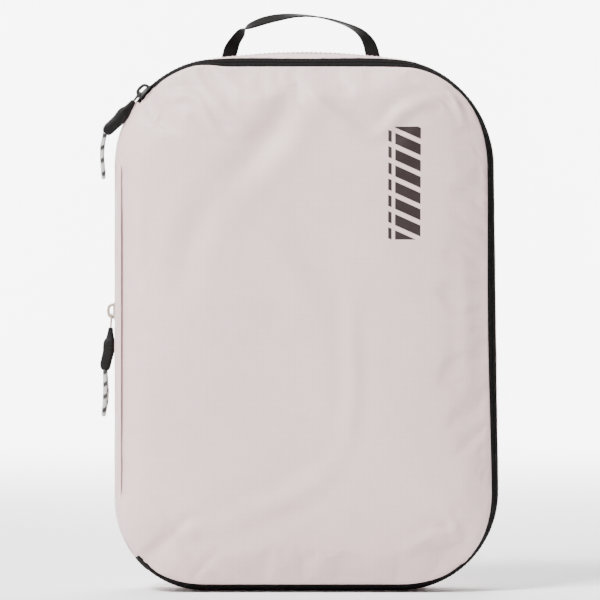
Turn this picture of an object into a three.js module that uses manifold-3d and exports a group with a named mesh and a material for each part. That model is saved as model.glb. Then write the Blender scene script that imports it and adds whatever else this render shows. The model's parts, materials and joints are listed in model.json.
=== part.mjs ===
// Compression packing cube: a zip-round travel case of light nylon, standing on its bottom gusset.
// Millimetres, +Z up, the opening lid facing -Y. The origin is on the flat base, under the middle
// of the body. The lid hinges on the fabric of the left side, the rear shell slides back when the
// compression zip is open, and each zip has a slider, a swinging link, a grip and a cord loop.
import * as THREE from "three";
import { mergeVertices } from "three/addons/utils/BufferGeometryUtils.js";
import Module from "manifold-3d";

const wasm = await Module();
wasm.setup();

// ---------------------------------------------------------------- driving dimensions

// Corners of the widest outline, seen from the front.
const TOP_LEFT = { x: -57, z: 290, r: 74 };
const TOP_RIGHT = { x: 53, z: 289, r: 75 };
const BOTTOM_RIGHT = { x: 63, z: 68, r: 68 };
const BOTTOM_LEFT = { x: -69, z: 62, r: 62 };

// Sides between the corners: radius of the bow, and how far the front edge of the zip band
// (edge) and its rear edge (band) lie inside the widest outline at the middle of the side.
const STRAIGHT = 1e6;
const TOP = { radius: 420, edge: 10.4, band: 5.4, steps: 6 };
const RIGHT = { radius: STRAIGHT, edge: 5.2, band: 0, steps: 3 };
const BOTTOM = { radius: STRAIGHT, edge: 4.2, band: 0, steps: 3 };
const LEFT = { radius: STRAIGHT, edge: 5.2, band: 0, steps: 3 };
const CORNER_EDGE = 3.4;
const CORNER_BAND = 0;

// Depth of the side wall, from the front edge to the rear edge.
const FRONT_Y = -28;
const ZIP_FRONT_Y = -26;
const ZIP_Y = -20;
const ZIP_REAR_Y = -14;
const COMPRESSION_Y = 3;
const REAR_ROUND_Y = 18;
const REAR_Y = 28;
const REAR_INSET = 3.4;
const SLEEVE_INSET = 5.8;
const SLEEVE_Y = -20.4;
const FRONT_BULGE = 12;
const REAR_BULGE = 10;
const BULGE_POWER = 2.6;

const CLOTH = 1;
const GAP = 0.3;

// Zip chain, across the band from its middle line, with the coils on the inside of the tapes.
const TAPE = 0.6;
const TAPE_REACH = 6;
const CHAIN_SLIT = 0.95;
const COIL_WIDTH = 1.5;
const COIL_TOP = -0.85;
const COIL_HEIGHT = 1.3;

// Where the main zip starts and ends on its corners, and where its slider rests, in degrees.
const ZIP_START = 143.4;
const SLIDER_ANGLE = 136.8;
const MAIN_HANG = 36.5;
const SLIDER_CLEAR = 130.6;
const ZIP_END = 219.7;
const HINGE_X = -114.6;

// Sliders.
const SLIDER_LENGTH = 11.4;
const SLIDER_WIDTH = 8.6;
const SLIDER_TAIL = 6.6;
const PLATE = 1.05;
const OUTER_PLATE_W = 0.6;
const INNER_PLATE_W = -2.75;
const FLANGE_TOP_W = -1.2;
const FLANGE_INNER = 2.9;
const POST_HALF = 0.55;
const CROWN_LENGTH = 9.4;
const CROWN_HEIGHT = 4.1;
const CROWN_WIDTH = 2.2;
const CROWN_BAR = 1.1;
const COMPRESSION_SLIDER_Z = 191;
const COMPRESSION_HANG = 4;

// Pulls.
const LINK_WIRE = 0.65;
const LINK_HALF_WIDTH = 2.3;
const MAIN_LINK = 5.4;
const COMPRESSION_LINK = 7.6;
const GRIP_LENGTH = 29.5;
const CORD_DIAMETER = 3;

// Handle webbing.
const WEBBING_WIDTH = 10;
const WEBBING_THICK = 1.3;
const HANDLE_Y = 27.2;

// ---------------------------------------------------------------- helpers

const radians = THREE.MathUtils.degToRad;
const mix = THREE.MathUtils.lerp;

// A closed solid from flat lists of corners and triangles, with its faces turned outwards.
function closedGeometry(points, triangles) {
  const loose = new THREE.BufferGeometry().setFromPoints(points);
  loose.setIndex(triangles);
  const merged = mergeVertices(loose, 1e-4);
  const kept = [];
  const index = merged.index.array;
  for (let i = 0; i < index.length; i += 3) {
    const [a, b, c] = index.slice(i, i + 3);
    if (a !== b && b !== c && c !== a) kept.push(a, b, c);
  }
  merged.setIndex(kept);
  if (signedVolume(merged) < 0) {
    for (let i = 0; i < kept.length; i += 3) {
      [kept[i + 1], kept[i + 2]] = [kept[i + 2], kept[i + 1]];
    }
    merged.setIndex(kept);
  }
  return merged;
}

function signedVolume(geometry) {
  const position = geometry.getAttribute("position");
  const index = geometry.index.array;
  const corner = (k) => new THREE.Vector3().fromBufferAttribute(position, index[k]);
  let volume = 0;
  for (let i = 0; i < index.length; i += 3) {
    volume += corner(i).dot(corner(i + 1).cross(corner(i + 2))) / 6;
  }
  return volume;
}

// Joins a row of equal sections into one solid: round in a ring, or open with flat ends.
function loft(sections, ring) {
  const size = sections[0].length;
  const triangles = [];
  const rows = ring ? sections.length : sections.length - 1;
  for (let i = 0; i < rows; i += 1) {
    const here = i * size;
    const next = ((i + 1) % sections.length) * size;
    for (let j = 0; j < size; j += 1) {
      const k = (j + 1) % size;
      triangles.push(here + j, next + j, next + k, here + j, next + k, here + k);
    }
  }
  if (!ring) {
    const last = (sections.length - 1) * size;
    const flat = THREE.ShapeUtils.triangulateShape(flattened(sections[0]), []);
    flat.forEach(([a, b, c]) => {
      triangles.push(a, b, c, last + a, last + c, last + b);
    });
  }
  return closedGeometry(sections.flat(), triangles);
}

// A section's corners in its own plane, so that its end cap can be cut into triangles.
function flattened(section) {
  const across = section[1].clone().sub(section[0]).normalize();
  let normal = new THREE.Vector3();
  section.forEach((p, i) => {
    normal.add(p.clone().cross(section[(i + 1) % section.length]));
  });
  normal = normal.normalize();
  const up = normal.clone().cross(across);
  return section.map((p) => new THREE.Vector2(p.dot(across), p.dot(up)));
}

function solidOf(geometry) {
  const bare = geometry.index ? geometry.toNonIndexed() : geometry.clone();
  bare.deleteAttribute("normal");
  bare.deleteAttribute("uv");
  const merged = mergeVertices(bare, 1e-4);
  return new wasm.Manifold(
    new wasm.Mesh({
      numProp: 3,
      vertProperties: merged.getAttribute("position").array,
      triVerts: new Uint32Array(merged.index.array),
    }),
  );
}

function geometryOf(solid) {
  const mesh = solid.getMesh();
  const geometry = new THREE.BufferGeometry();
  geometry.setAttribute("position", new THREE.BufferAttribute(mesh.vertProperties, 3));
  geometry.setIndex(new THREE.BufferAttribute(mesh.triVerts, 1));
  return geometry;
}

function joined(first, ...others) {
  return geometryOf(others.reduce((sum, g) => sum.add(solidOf(g)), solidOf(first)));
}

// The part of a geometry between two places along X.
function between(geometry, low, high) {
  const tall = 1000;
  const slab = new THREE.BoxGeometry(high - low, tall, tall);
  slab.translate((low + high) / 2, 0, 0);
  return geometryOf(solidOf(geometry).intersect(solidOf(slab)));
}

function blockAt(length, width, height, x, y, z) {
  return new THREE.BoxGeometry(length, width, height).translate(x, y, z);
}

// ---------------------------------------------------------------- outline

// The circle of a side that touches both corners from inside, with its contact angles.
function sideCircle(from, to, radius) {
  const dx = to.x - from.x;
  const dz = to.z - from.z;
  const apart = Math.hypot(dx, dz);
  const a = radius - from.r;
  const b = radius - to.r;
  const along = (apart * apart + a * a - b * b) / (2 * apart);
  const drop = Math.sqrt(a * a - along * along);
  const x = from.x + (dx * along) / apart + (dz * drop) / apart;
  const z = from.z + (dz * along) / apart - (dx * drop) / apart;
  return {
    x,
    z,
    r: radius,
    start: Math.atan2(from.z - z, from.x - x),
    end: Math.atan2(to.z - z, to.x - x),
  };
}

// Stations along an arc, clockwise: place, outward normal, and the two insets of the zip band.
function arcStations(circle, start, end, steps, side = null) {
  const turn = 2 * Math.PI;
  const sweep = -((((start - end) % turn) + turn) % turn);
  return Array.from({ length: steps }, (_, i) => {
    const t = i / steps;
    const angle = start + sweep * t;
    const bump = side ? Math.sin(Math.PI * t) ** 2 : 0;
    return {
      x: circle.x + circle.r * Math.cos(angle),
      z: circle.z + circle.r * Math.sin(angle),
      nx: Math.cos(angle),
      nz: Math.sin(angle),
      edge: side ? mix(CORNER_EDGE, side.edge, bump) : CORNER_EDGE,
      band: side ? mix(CORNER_BAND, side.band, bump) : CORNER_BAND,
    };
  });
}

const top = sideCircle(TOP_LEFT, TOP_RIGHT, TOP.radius);
const right = sideCircle(TOP_RIGHT, BOTTOM_RIGHT, RIGHT.radius);
const bottom = sideCircle(BOTTOM_RIGHT, BOTTOM_LEFT, BOTTOM.radius);
const left = sideCircle(BOTTOM_LEFT, TOP_LEFT, LEFT.radius);

// The slider's own stretch, the rest of the zip, and the hinge side.
const sliderRun = arcStations(TOP_LEFT, radians(ZIP_START), radians(SLIDER_CLEAR), 2);
const chainRun = [
  ...arcStations(TOP_LEFT, radians(SLIDER_CLEAR), top.start, 6),
  ...arcStations(top, top.start, top.end, TOP.steps, TOP),
  ...arcStations(TOP_RIGHT, top.end, right.start, 7),
  ...arcStations(right, right.start, right.end, RIGHT.steps, RIGHT),
  ...arcStations(BOTTOM_RIGHT, right.end, bottom.start, 7),
  ...arcStations(bottom, bottom.start, bottom.end, BOTTOM.steps, BOTTOM),
  ...arcStations(BOTTOM_LEFT, bottom.end, radians(ZIP_END), 4),
];
const hingeRun = [
  ...arcStations(BOTTOM_LEFT, radians(ZIP_END), left.start, 3),
  ...arcStations(left, left.start, left.end, LEFT.steps, LEFT),
  ...arcStations(TOP_LEFT, left.end, radians(ZIP_START), 3),
];
const loop = [...sliderRun, ...chainRun, ...hingeRun];
const zipRun = [...sliderRun, ...chainRun, hingeRun[0]];
const lidZipRun = [...chainRun, hingeRun[0]];
const hingeSide = [...hingeRun, sliderRun[0]];

// ---------------------------------------------------------------- side wall

// How far the wall lies inside the widest outline at a depth y.
function wallInset(station, y) {
  const { edge, band } = station;
  if (y <= ZIP_FRONT_Y) return edge + (ZIP_FRONT_Y - y) * 0.5;
  if (y <= ZIP_REAR_Y) {
    return mix(edge, band, (y - ZIP_FRONT_Y) / (ZIP_REAR_Y - ZIP_FRONT_Y));
  }
  if (y <= 0) return band * (y / ZIP_REAR_Y) ** 1.5;
  if (y <= REAR_ROUND_Y) return 0;
  return REAR_INSET * ((y - REAR_ROUND_Y) / (REAR_Y - REAR_ROUND_Y)) ** 2;
}

function insetPoint(station, inset, y) {
  return new THREE.Vector3(station.x - station.nx * inset, y, station.z - station.nz * inset);
}

// A strip of cloth on the side wall, through the given depths.
function wallStrip(stations, depths, ring, thickness = CLOTH) {
  const sections = stations.map((s) => [
    ...depths.map((y) => insetPoint(s, wallInset(s, y), y)),
    ...[...depths].reverse().map((y) => insetPoint(s, wallInset(s, y) + thickness, y)),
  ]);
  return loft(sections, ring);
}

// A flat strip that points inwards from the wall, as a seam binding or a pleat does.
function inwardStrip(stations, yOuter, yInner, from, reach, ring, thickness = CLOTH) {
  const half = thickness / 2;
  const sections = stations.map((s) => {
    const root = wallInset(s, yOuter) + from;
    return [
      insetPoint(s, root, yOuter - half),
      insetPoint(s, root + reach, yInner - half),
      insetPoint(s, root + reach, yInner + half),
      insetPoint(s, root, yOuter + half),
    ];
  });
  return loft(sections, ring);
}

// A place on a zip band: across it (v, towards the back) and out of it (w).
function bandPoint(station, y, v, w) {
  const main = y === ZIP_Y;
  const lean = main ? Math.atan2(station.edge - station.band, ZIP_REAR_Y - ZIP_FRONT_Y) : 0;
  const out = w * Math.cos(lean) + v * Math.sin(lean);
  const back = v * Math.cos(lean) - w * Math.sin(lean);
  return insetPoint(station, wallInset(station, y) - out, y + back);
}

function bandStrip(stations, y, vLow, vHigh, wLow, wHigh, ring) {
  const sections = stations.map((s) => [
    bandPoint(s, y, vLow, wLow),
    bandPoint(s, y, vHigh, wLow),
    bandPoint(s, y, vHigh, wHigh),
    bandPoint(s, y, vLow, wHigh),
  ]);
  return loft(sections, ring);
}

// The folded cloth behind the compression zip: it slides out of the front shell as the rear
// shell moves back.
function expansionSleeve() {
  const sections = loop.map((s) => {
    const root = CLOTH + 3 * GAP;
    const inner = s.band + SLEEVE_INSET;
    return [
      insetPoint(s, root, 13),
      insetPoint(s, inner, 9.5),
      insetPoint(s, inner, SLEEVE_Y),
      insetPoint(s, inner + CLOTH, SLEEVE_Y),
      insetPoint(s, inner + CLOTH, 10.1),
      insetPoint(s, root, 14.2),
    ];
  });
  return loft(sections, true);
}

// Tape and coil of one half of a zip; side is -1 for the front half and 1 for the rear half.
function halfTape(stations, y, side, ring) {
  const [low, high] = [side * CHAIN_SLIT, side * TAPE_REACH].sort((a, b) => a - b);
  return bandStrip(stations, y, low, high, -TAPE, 0, ring);
}

function halfCoil(stations, y, side, ring) {
  const [low, high] = [side * CHAIN_SLIT, side * (CHAIN_SLIT + COIL_WIDTH)].sort((a, b) => a - b);
  return bandStrip(stations, y, low, high, COIL_TOP - COIL_HEIGHT, COIL_TOP, ring);
}

// ---------------------------------------------------------------- panels

// A domed cloth panel with a turned-down rim; sign is -1 for the front and 1 for the back.
function domedPanel(rimY, edgeY, rimInset, edgeInset, bulge, sign) {
  const centre = new THREE.Vector3(0, edgeY, 182);
  const shares = [0.96, 0.86, 0.66, 0.38, 0];
  const height = (share) => bulge * (1 - share ** BULGE_POWER);
  const sections = loop.map((s) => {
    const edge = insetPoint(s, edgeInset(s), edgeY);
    const dome = (share, deeper) => {
      const p = centre.clone().lerp(edge, share);
      p.y = edgeY + sign * (height(share) - deeper);
      return p;
    };
    const outer = shares.map((share) => dome(share, 0));
    const inner = shares.map((share) => dome(share, CLOTH)).reverse();
    const innerEdge = insetPoint(s, edgeInset(s) + CLOTH, edgeY - sign * CLOTH);
    const innerRim = insetPoint(s, rimInset(s) + CLOTH, rimY);
    return [insetPoint(s, rimInset(s), rimY), edge, ...outer, ...inner, innerEdge, innerRim];
  });
  return loft(sections, true);
}

const frontPanel = domedPanel(
  ZIP_FRONT_Y - GAP,
  FRONT_Y,
  (s) => s.edge,
  (s) => s.edge + 1.2,
  FRONT_BULGE,
  -1,
);
const lidPanel = between(frontPanel, HINGE_X + GAP, 200);
const hingePanel = between(frontPanel, -200, HINGE_X - GAP);
const backPanel = domedPanel(
  REAR_Y - 0.9,
  REAR_Y + 0.3,
  () => REAR_INSET - 0.4,
  () => REAR_INSET + 1.2,
  REAR_BULGE,
  1,
);

// ---------------------------------------------------------------- sliders

// A slider's plate, seen from outside: broad at the nose (+X) and narrow at the tail.
function slidePlate(w) {
  const nose = SLIDER_LENGTH / 2;
  const wide = SLIDER_WIDTH / 2;
  const slim = SLIDER_TAIL / 2;
  const shape = new THREE.Shape();
  shape.moveTo(-nose + 0.8, -slim);
  shape.lineTo(0.5, -wide);
  shape.lineTo(nose - 1.6, -wide);
  shape.quadraticCurveTo(nose, -wide, nose, -wide + 1.8);
  shape.lineTo(nose, wide - 1.8);
  shape.quadraticCurveTo(nose, wide, nose - 1.6, wide);
  shape.lineTo(0.5, wide);
  shape.lineTo(-nose + 0.8, slim);
  shape.quadraticCurveTo(-nose, slim, -nose, slim - 0.9);
  shape.lineTo(-nose, -slim + 0.9);
  shape.quadraticCurveTo(-nose, -slim, -nose + 0.8, -slim);
  const options = { depth: PLATE, bevelEnabled: false, curveSegments: 3 };
  return new THREE.ExtrudeGeometry(shape, options).translate(0, 0, w);
}

// Body of a slider: two plates, a flange each side and the post between the two chains.
function sliderBody() {
  const flangeWidth = 0.5;
  const flangeHeight = FLANGE_TOP_W - INNER_PLATE_W + 0.1;
  const flangeZ = FLANGE_TOP_W - flangeHeight / 2;
  const flangeLength = SLIDER_LENGTH - 3;
  const flanges = [-1, 1].map((side) =>
    blockAt(flangeLength, flangeWidth, flangeHeight, 0, side * (FLANGE_INNER + flangeWidth / 2), flangeZ),
  );
  const postHeight = OUTER_PLATE_W - INNER_PLATE_W + 0.2;
  const postZ = INNER_PLATE_W - 0.1 + postHeight / 2;
  const post = blockAt(3, 2 * POST_HALF, postHeight, SLIDER_LENGTH / 2 - 2.2, 0, postZ);
  return joined(
    slidePlate(OUTER_PLATE_W),
    slidePlate(INNER_PLATE_W - PLATE),
    ...flanges,
    post,
  );
}

// The arch on the slider's outer plate that the link passes through.
function sliderCrown() {
  const half = CROWN_LENGTH / 2;
  const shape = new THREE.Shape();
  shape.moveTo(-half, 0);
  shape.lineTo(half, 0);
  shape.bezierCurveTo(half, CROWN_HEIGHT * 0.8, half * 0.6, CROWN_HEIGHT, 0, CROWN_HEIGHT);
  shape.bezierCurveTo(-half * 0.6, CROWN_HEIGHT, -half, CROWN_HEIGHT * 0.8, -half, 0);
  const inner = half - CROWN_BAR;
  const roof = CROWN_HEIGHT - CROWN_BAR;
  const hole = new THREE.Path();
  hole.moveTo(-inner, 0.35);
  hole.bezierCurveTo(-inner, roof * 0.9, -inner * 0.6, roof, 0, roof);
  hole.bezierCurveTo(inner * 0.6, roof, inner, roof * 0.9, inner, 0.35);
  hole.lineTo(-inner, 0.35);
  shape.holes.push(hole);
  const options = { depth: CROWN_WIDTH, bevelEnabled: false, curveSegments: 5 };
  return new THREE.ExtrudeGeometry(shape, options)
    .rotateX(Math.PI / 2)
    .translate(0, CROWN_WIDTH / 2, OUTER_PLATE_W + PLATE + 0.08);
}

// Where the link's wire lies in the crown, in the slider's own frame, at its nose end.
const EYE = new THREE.Vector3(
  CROWN_LENGTH / 2 - CROWN_BAR - LINK_WIRE - 0.75,
  0,
  OUTER_PLATE_W + PLATE + 0.35 + LINK_WIRE + 0.3,
);

// ---------------------------------------------------------------- pulls, hanging along -Z from the eye

// A wire loop through the crown that narrows into the grip.
function pullLink(reach) {
  const w = LINK_HALF_WIDTH;
  const path = new THREE.CatmullRomCurve3(
    [
      [0, -w, 0.05],
      [0, -w * 0.5, 0.6],
      [0, 0, 0.7],
      [0, w * 0.5, 0.6],
      [0, w, 0.05],
      [0, w, -0.35 * reach],
      [0, w * 0.6, -0.7 * reach],
      [0, 0.3 * w, -reach],
      [0, -0.3 * w, -reach],
      [0, -w * 0.6, -0.7 * reach],
      [0, -w, -0.35 * reach],
    ].map(([x, y, z]) => new THREE.Vector3(x, y, z - 0.7)),
    true,
  );
  const steps = 22;
  const sides = 6;
  const frames = path.computeFrenetFrames(steps, true);
  const sections = Array.from({ length: steps }, (_, i) => {
    const centre = path.getPointAt(i / steps);
    return Array.from({ length: sides }, (_, k) => {
      const angle = (2 * Math.PI * k) / sides;
      const side = frames.normals[i].clone().multiplyScalar(Math.cos(angle) * LINK_WIRE);
      const up = frames.binormals[i].clone().multiplyScalar(Math.sin(angle) * LINK_WIRE);
      return centre.clone().add(side).add(up);
    });
  });
  return loft(sections, true);
}

// Soft moulded grip: along its length, how far its middle leans and its two half widths.
const GRIP_ROWS = [
  { at: 0, lean: 0, thick: 1.5, wide: 2.1 },
  { at: 0.16, lean: -0.1, thick: 1.9, wide: 2.7 },
  { at: 0.3, lean: -0.3, thick: 3.2, wide: 4.2 },
  { at: 0.42, lean: -0.2, thick: 3.9, wide: 4.6 },
  { at: 0.58, lean: -0.3, thick: 3.9, wide: 4.6 },
  { at: 0.72, lean: -1.0, thick: 3.6, wide: 4.4 },
  { at: 0.86, lean: -1.7, thick: 3.4, wide: 4.2 },
  { at: 0.96, lean: -1.7, thick: 2.9, wide: 3.9 },
  { at: 1, lean: -1.7, thick: 2.6, wide: 3.7 },
];

function pullGrip() {
  const sides = 12;
  const sections = GRIP_ROWS.map(({ at, lean, thick, wide }) =>
    Array.from({ length: sides }, (_, k) => {
      const angle = (2 * Math.PI * k) / sides;
      const squared = (v) => Math.sign(v) * Math.abs(v) ** 0.7;
      const x = lean + thick * squared(Math.cos(angle));
      return new THREE.Vector3(x, wide * squared(Math.sin(angle)), -GRIP_LENGTH * at);
    }),
  );
  return loft(sections, false);
}

// Cord loops, from the grip and back to it, as points (x, y, z) under the middle of the grip's
// end. The main one hangs from a slanted grip and bends down; the other hangs straight.
const MAIN_CORD = [
  [0, -1.8, 0],
  [-0.7, -1.9, -2.6],
  [-1.4, -2.3, -6],
  [-1.9, -3.4, -10.5],
  [-1.9, -4.7, -15],
  [-1.5, -5.6, -19.5],
  [-0.9, -5.3, -24],
  [-0.3, -3.3, -27.6],
  [0.1, 0, -29.2],
  [0.5, 3.3, -27.6],
  [0.4, 5.3, -24],
  [0, 5.6, -19.5],
  [-0.5, 4.7, -15],
  [-0.6, 3.4, -10.5],
  [-0.4, 2.3, -6],
  [0.1, 1.9, -2.6],
  [0.5, 1.8, 0],
];
const COMPRESSION_CORD = [
  [0, -1.8, 0],
  [0, -1.9, -2.6],
  [0.1, -2.3, -6],
  [0.2, -3.4, -10.5],
  [0.2, -4.7, -15],
  [0, -5.6, -19.5],
  [-0.3, -5.3, -24],
  [-0.8, -3.3, -27.6],
  [-1, 0, -29.2],
  [-0.8, 3.3, -27.6],
  [-0.1, 5.3, -24],
  [0.5, 5.6, -19.5],
  [0.9, 4.7, -15],
  [0.8, 3.4, -10.5],
  [0.5, 2.3, -6],
  [0.3, 1.9, -2.6],
  [0.2, 1.8, 0],
];

function cordLoop(route) {
  const sides = 8;
  const section = new THREE.Shape(
    Array.from({ length: sides }, (_, k) => {
      const angle = (2 * Math.PI * k) / sides;
      return new THREE.Vector2(Math.cos(angle), Math.sin(angle)).multiplyScalar(CORD_DIAMETER / 2);
    }),
  );
  const path = new THREE.CatmullRomCurve3(route.map((p) => new THREE.Vector3(...p)));
  return new THREE.ExtrudeGeometry(section, { steps: 26, bevelEnabled: false, extrudePath: path });
}

// ---------------------------------------------------------------- handle

// Middle line of the webbing loop over the top, and how far it has twisted from facing front.
const HANDLE_ROUTE = [
  [-54.3, 364.4, 0],
  [-52.6, 371.5, 10],
  [-49.6, 377.9, 44],
  [-44.6, 384.8, 72],
  [-38, 389, 117],
  [-28.5, 392.5, 126],
  [-18, 394.7, 120],
  [-7, 395.8, 106],
  [5, 395.3, 96],
  [17, 393, 89],
  [28.5, 389.2, 82],
  [37.6, 384, 63],
  [43.4, 376.4, 34],
  [46.3, 366.4, 2],
];

function handleLoop() {
  const path = new THREE.CatmullRomCurve3(
    HANDLE_ROUTE.map(([x, z]) => new THREE.Vector3(x, HANDLE_Y, z)),
  );
  const steps = 36;
  const sections = Array.from({ length: steps + 1 }, (_, i) => {
    const t = i / steps;
    const at = t * (HANDLE_ROUTE.length - 1);
    const row = Math.min(Math.floor(at), HANDLE_ROUTE.length - 2);
    const twist = radians(mix(HANDLE_ROUTE[row][2], HANDLE_ROUTE[row + 1][2], at - row));
    const centre = path.getPoint(t);
    const tangent = path.getTangent(t);
    const inPlane = new THREE.Vector3(-tangent.z, 0, tangent.x);
    const depth = new THREE.Vector3(0, 1, 0);
    const wide = inPlane
      .clone()
      .multiplyScalar(Math.cos(twist))
      .addScaledVector(depth, Math.sin(twist));
    const thick = tangent.clone().cross(wide).normalize();
    const corner = (a, b) =>
      centre
        .clone()
        .addScaledVector(wide, (a * WEBBING_WIDTH) / 2)
        .addScaledVector(thick, (b * WEBBING_THICK) / 2);
    return [corner(-1, -1), corner(1, -1), corner(1, 1), corner(-1, 1)];
  });
  return loft(sections, false);
}

// ---------------------------------------------------------------- materials

const cloth = (color) =>
  new THREE.MeshStandardMaterial({ color, roughness: 0.62, metalness: 0 });
const lightCloth = cloth("#ddd2d0");
const lightTape = cloth("#d3c6bf");
const blackTape = cloth("#252221");
const webbing = cloth("#1c1b1b");
const binding = cloth("#c9bfbc");
const blackMetal = new THREE.MeshStandardMaterial({ color: "#1b1919", roughness: 0.4, metalness: 0.6 });
const lightMetal = new THREE.MeshStandardMaterial({ color: "#cdc2ba", roughness: 0.35, metalness: 0.6 });
const blackRubber = new THREE.MeshStandardMaterial({ color: "#232021", roughness: 0.55, metalness: 0 });
const cordYarn = new THREE.MeshStandardMaterial({ color: "#c9c8c4", roughness: 0.8, metalness: 0 });

function part(name, geometry, material) {
  const mesh = new THREE.Mesh(geometry, material);
  mesh.name = name;
  return mesh;
}

// ---------------------------------------------------------------- assembly

const cube = new THREE.Group();

// Front shell: it carries both zips' front halves and the hinge side.
function frontShell() {
  const group = new THREE.Group();
  const zipTop = ZIP_FRONT_Y + GAP;
  const gusset = wallStrip(loop, [-13.6, -8.5, COMPRESSION_Y - TAPE_REACH - GAP], true);
  const seam = inwardStrip(loop, -13.6, -13.6, CLOTH + GAP, 3.4, true);
  group.add(
    part("front_gusset", gusset, lightCloth),
    part("hinge_gusset", wallStrip(hingeSide, [zipTop, -20, -13.6 - GAP], false), lightCloth),
    part("hinge_panel", hingePanel, lightCloth),
    part("main_zip_tape_body", halfTape(zipRun, ZIP_Y, 1, false), blackTape),
    part("main_zip_coil_body", halfCoil(zipRun, ZIP_Y, 1, false), blackTape),
    part("compression_zip_tape_front", halfTape(loop, COMPRESSION_Y, -1, true), lightTape),
    part("compression_zip_coil_front", halfCoil(loop, COMPRESSION_Y, -1, true), lightTape),
    part("front_seam_binding", seam, binding),
  );
  return group;
}

const root = frontShell();
cube.add(root);

// Zip ends: a stop behind the cloth past the main slider, and a black tab over the other end.
const endTabRun = arcStations(BOTTOM_LEFT, radians(ZIP_END + 11), radians(ZIP_END + 0.4), 3);
endTabRun.push(...arcStations(BOTTOM_LEFT, radians(ZIP_END + 0.4), radians(ZIP_END), 1));
const stopRun = arcStations(TOP_LEFT, radians(ZIP_START + 2.8), radians(ZIP_START + 0.6), 2);
const tabLift = 0.3;
const endTab = bandStrip(endTabRun, ZIP_Y, -5.6, 5.6, tabLift, tabLift + 0.8, false);
const topStop = bandStrip(stopRun, ZIP_Y, -2, 2, -2, -CLOTH - GAP, false);
cube.add(
  part("main_zip_end_tab", endTab, blackTape),
  part("main_zip_top_stop", topStop, blackMetal),
);

// Rear shell: back panel, rear gusset and the compression zip's rear half.
const leftWallX = BOTTOM_LEFT.x - BOTTOM_LEFT.r;
const rearChainRun = [
  { ...hingeRun[3], z: COMPRESSION_SLIDER_Z + SLIDER_LENGTH / 2 + 1 },
  ...hingeRun.filter((s) => s.z > COMPRESSION_SLIDER_Z + 12),
  ...sliderRun,
  ...chainRun,
  ...hingeRun.filter((s) => s.z < COMPRESSION_SLIDER_Z - 12),
  { ...hingeRun[3], z: COMPRESSION_SLIDER_Z - SLIDER_LENGTH / 2 - 3 },
];
const rearGussetDepths = [COMPRESSION_Y + TAPE_REACH + GAP, REAR_ROUND_Y, 23, 26.8];
const rearStopY = COMPRESSION_Y + 2.4;
const rearStopZ = COMPRESSION_SLIDER_Z - 7.4;
const rearStop = blockAt(0.8, 2.4, 1.8, leftWallX - 0.7, rearStopY, rearStopZ);
cube.add(
  part("compression_zip_tape_rear", halfTape(loop, COMPRESSION_Y, 1, true), lightTape),
  part("compression_zip_coil_rear", halfCoil(rearChainRun, COMPRESSION_Y, 1, false), lightTape),
  part("rear_gusset", wallStrip(loop, rearGussetDepths, true), lightCloth),
  part("back_panel", backPanel, lightCloth),
  part("rear_seam_binding", inwardStrip(loop, 25.2, 25.2, CLOTH + 2 * GAP, 5, true), binding),
  part("expansion_sleeve", expansionSleeve(), lightCloth),
  part("compression_zip_stop", rearStop, lightMetal),
);

// Lid: the domed front panel and the main zip's front half.
cube.add(
  part("lid_panel", lidPanel, lightCloth),
  part("main_zip_tape_lid", halfTape(lidZipRun, ZIP_Y, -1, false), blackTape),
  part("main_zip_coil_lid", halfCoil(lidZipRun, ZIP_Y, -1, false), blackTape),
  part("lid_seam_binding", inwardStrip(lidZipRun, -25.4, -25.4, CLOTH + GAP, 5, false), binding),
);

// Handle: the free loop, and its two ends sewn into the rear seam.
const sewnEnd = (name, x, z) =>
  part(name, blockAt(WEBBING_WIDTH, WEBBING_THICK, 9, x, 23.6, z), webbing);
cube.add(
  part("handle_webbing", handleLoop(), webbing),
  sewnEnd("handle_end_left", -54.3, 353.4),
  sewnEnd("handle_end_right", 46.3, 355),
);

// Care label, sewn into the rear seam inside.
cube.add(part("care_label", blockAt(24, 0.6, 34, 0, 23.2, 30), cloth("#e9e6e2")));

// A slider with its pull. The frame's X runs along the zip to the nose, and Z points outwards.
function sliderAndPull(prefix, frame, metal, reach, hang, route) {
  const slider = new THREE.Group();
  slider.applyMatrix4(frame);
  slider.add(part(`${prefix}_slider_body`, sliderBody(), metal));
  slider.add(part(`${prefix}_slider_crown`, sliderCrown(), metal));
  const pull = new THREE.Group();
  const axis = new THREE.Vector3().setFromMatrixColumn(frame, 1).negate();
  const up = new THREE.Vector3(0, 0, 1).projectOnPlane(axis).normalize();
  const eye = EYE.clone().applyMatrix4(frame);
  pull.applyMatrix4(new THREE.Matrix4().makeBasis(axis.clone().cross(up), axis, up));
  pull.position.copy(eye);
  const swing = new THREE.Group();
  swing.rotation.y = radians(hang);
  swing.add(part(`${prefix}_pull_link`, pullLink(reach), metal));
  const grip = part(`${prefix}_pull_grip`, pullGrip(), blackRubber);
  grip.position.z = -reach - 0.7 - LINK_WIRE - GAP;
  swing.add(grip);
  const lean = GRIP_ROWS.at(-1).lean;
  const end = new THREE.Vector3(lean, 0, grip.position.z - GRIP_LENGTH - 4 * GAP);
  end.applyAxisAngle(new THREE.Vector3(0, 1, 0), radians(hang));
  const cord = part(`${prefix}_pull_cord`, cordLoop(route), cordYarn);
  cord.position.copy(end);
  pull.add(swing, cord);
  return [slider, pull];
}

// A frame from the zip's direction, its outward normal and a place.
function frameOf(along, outward, place) {
  const across = outward.clone().cross(along).normalize();
  return new THREE.Matrix4().makeBasis(along, across, outward).setPosition(place);
}

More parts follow.
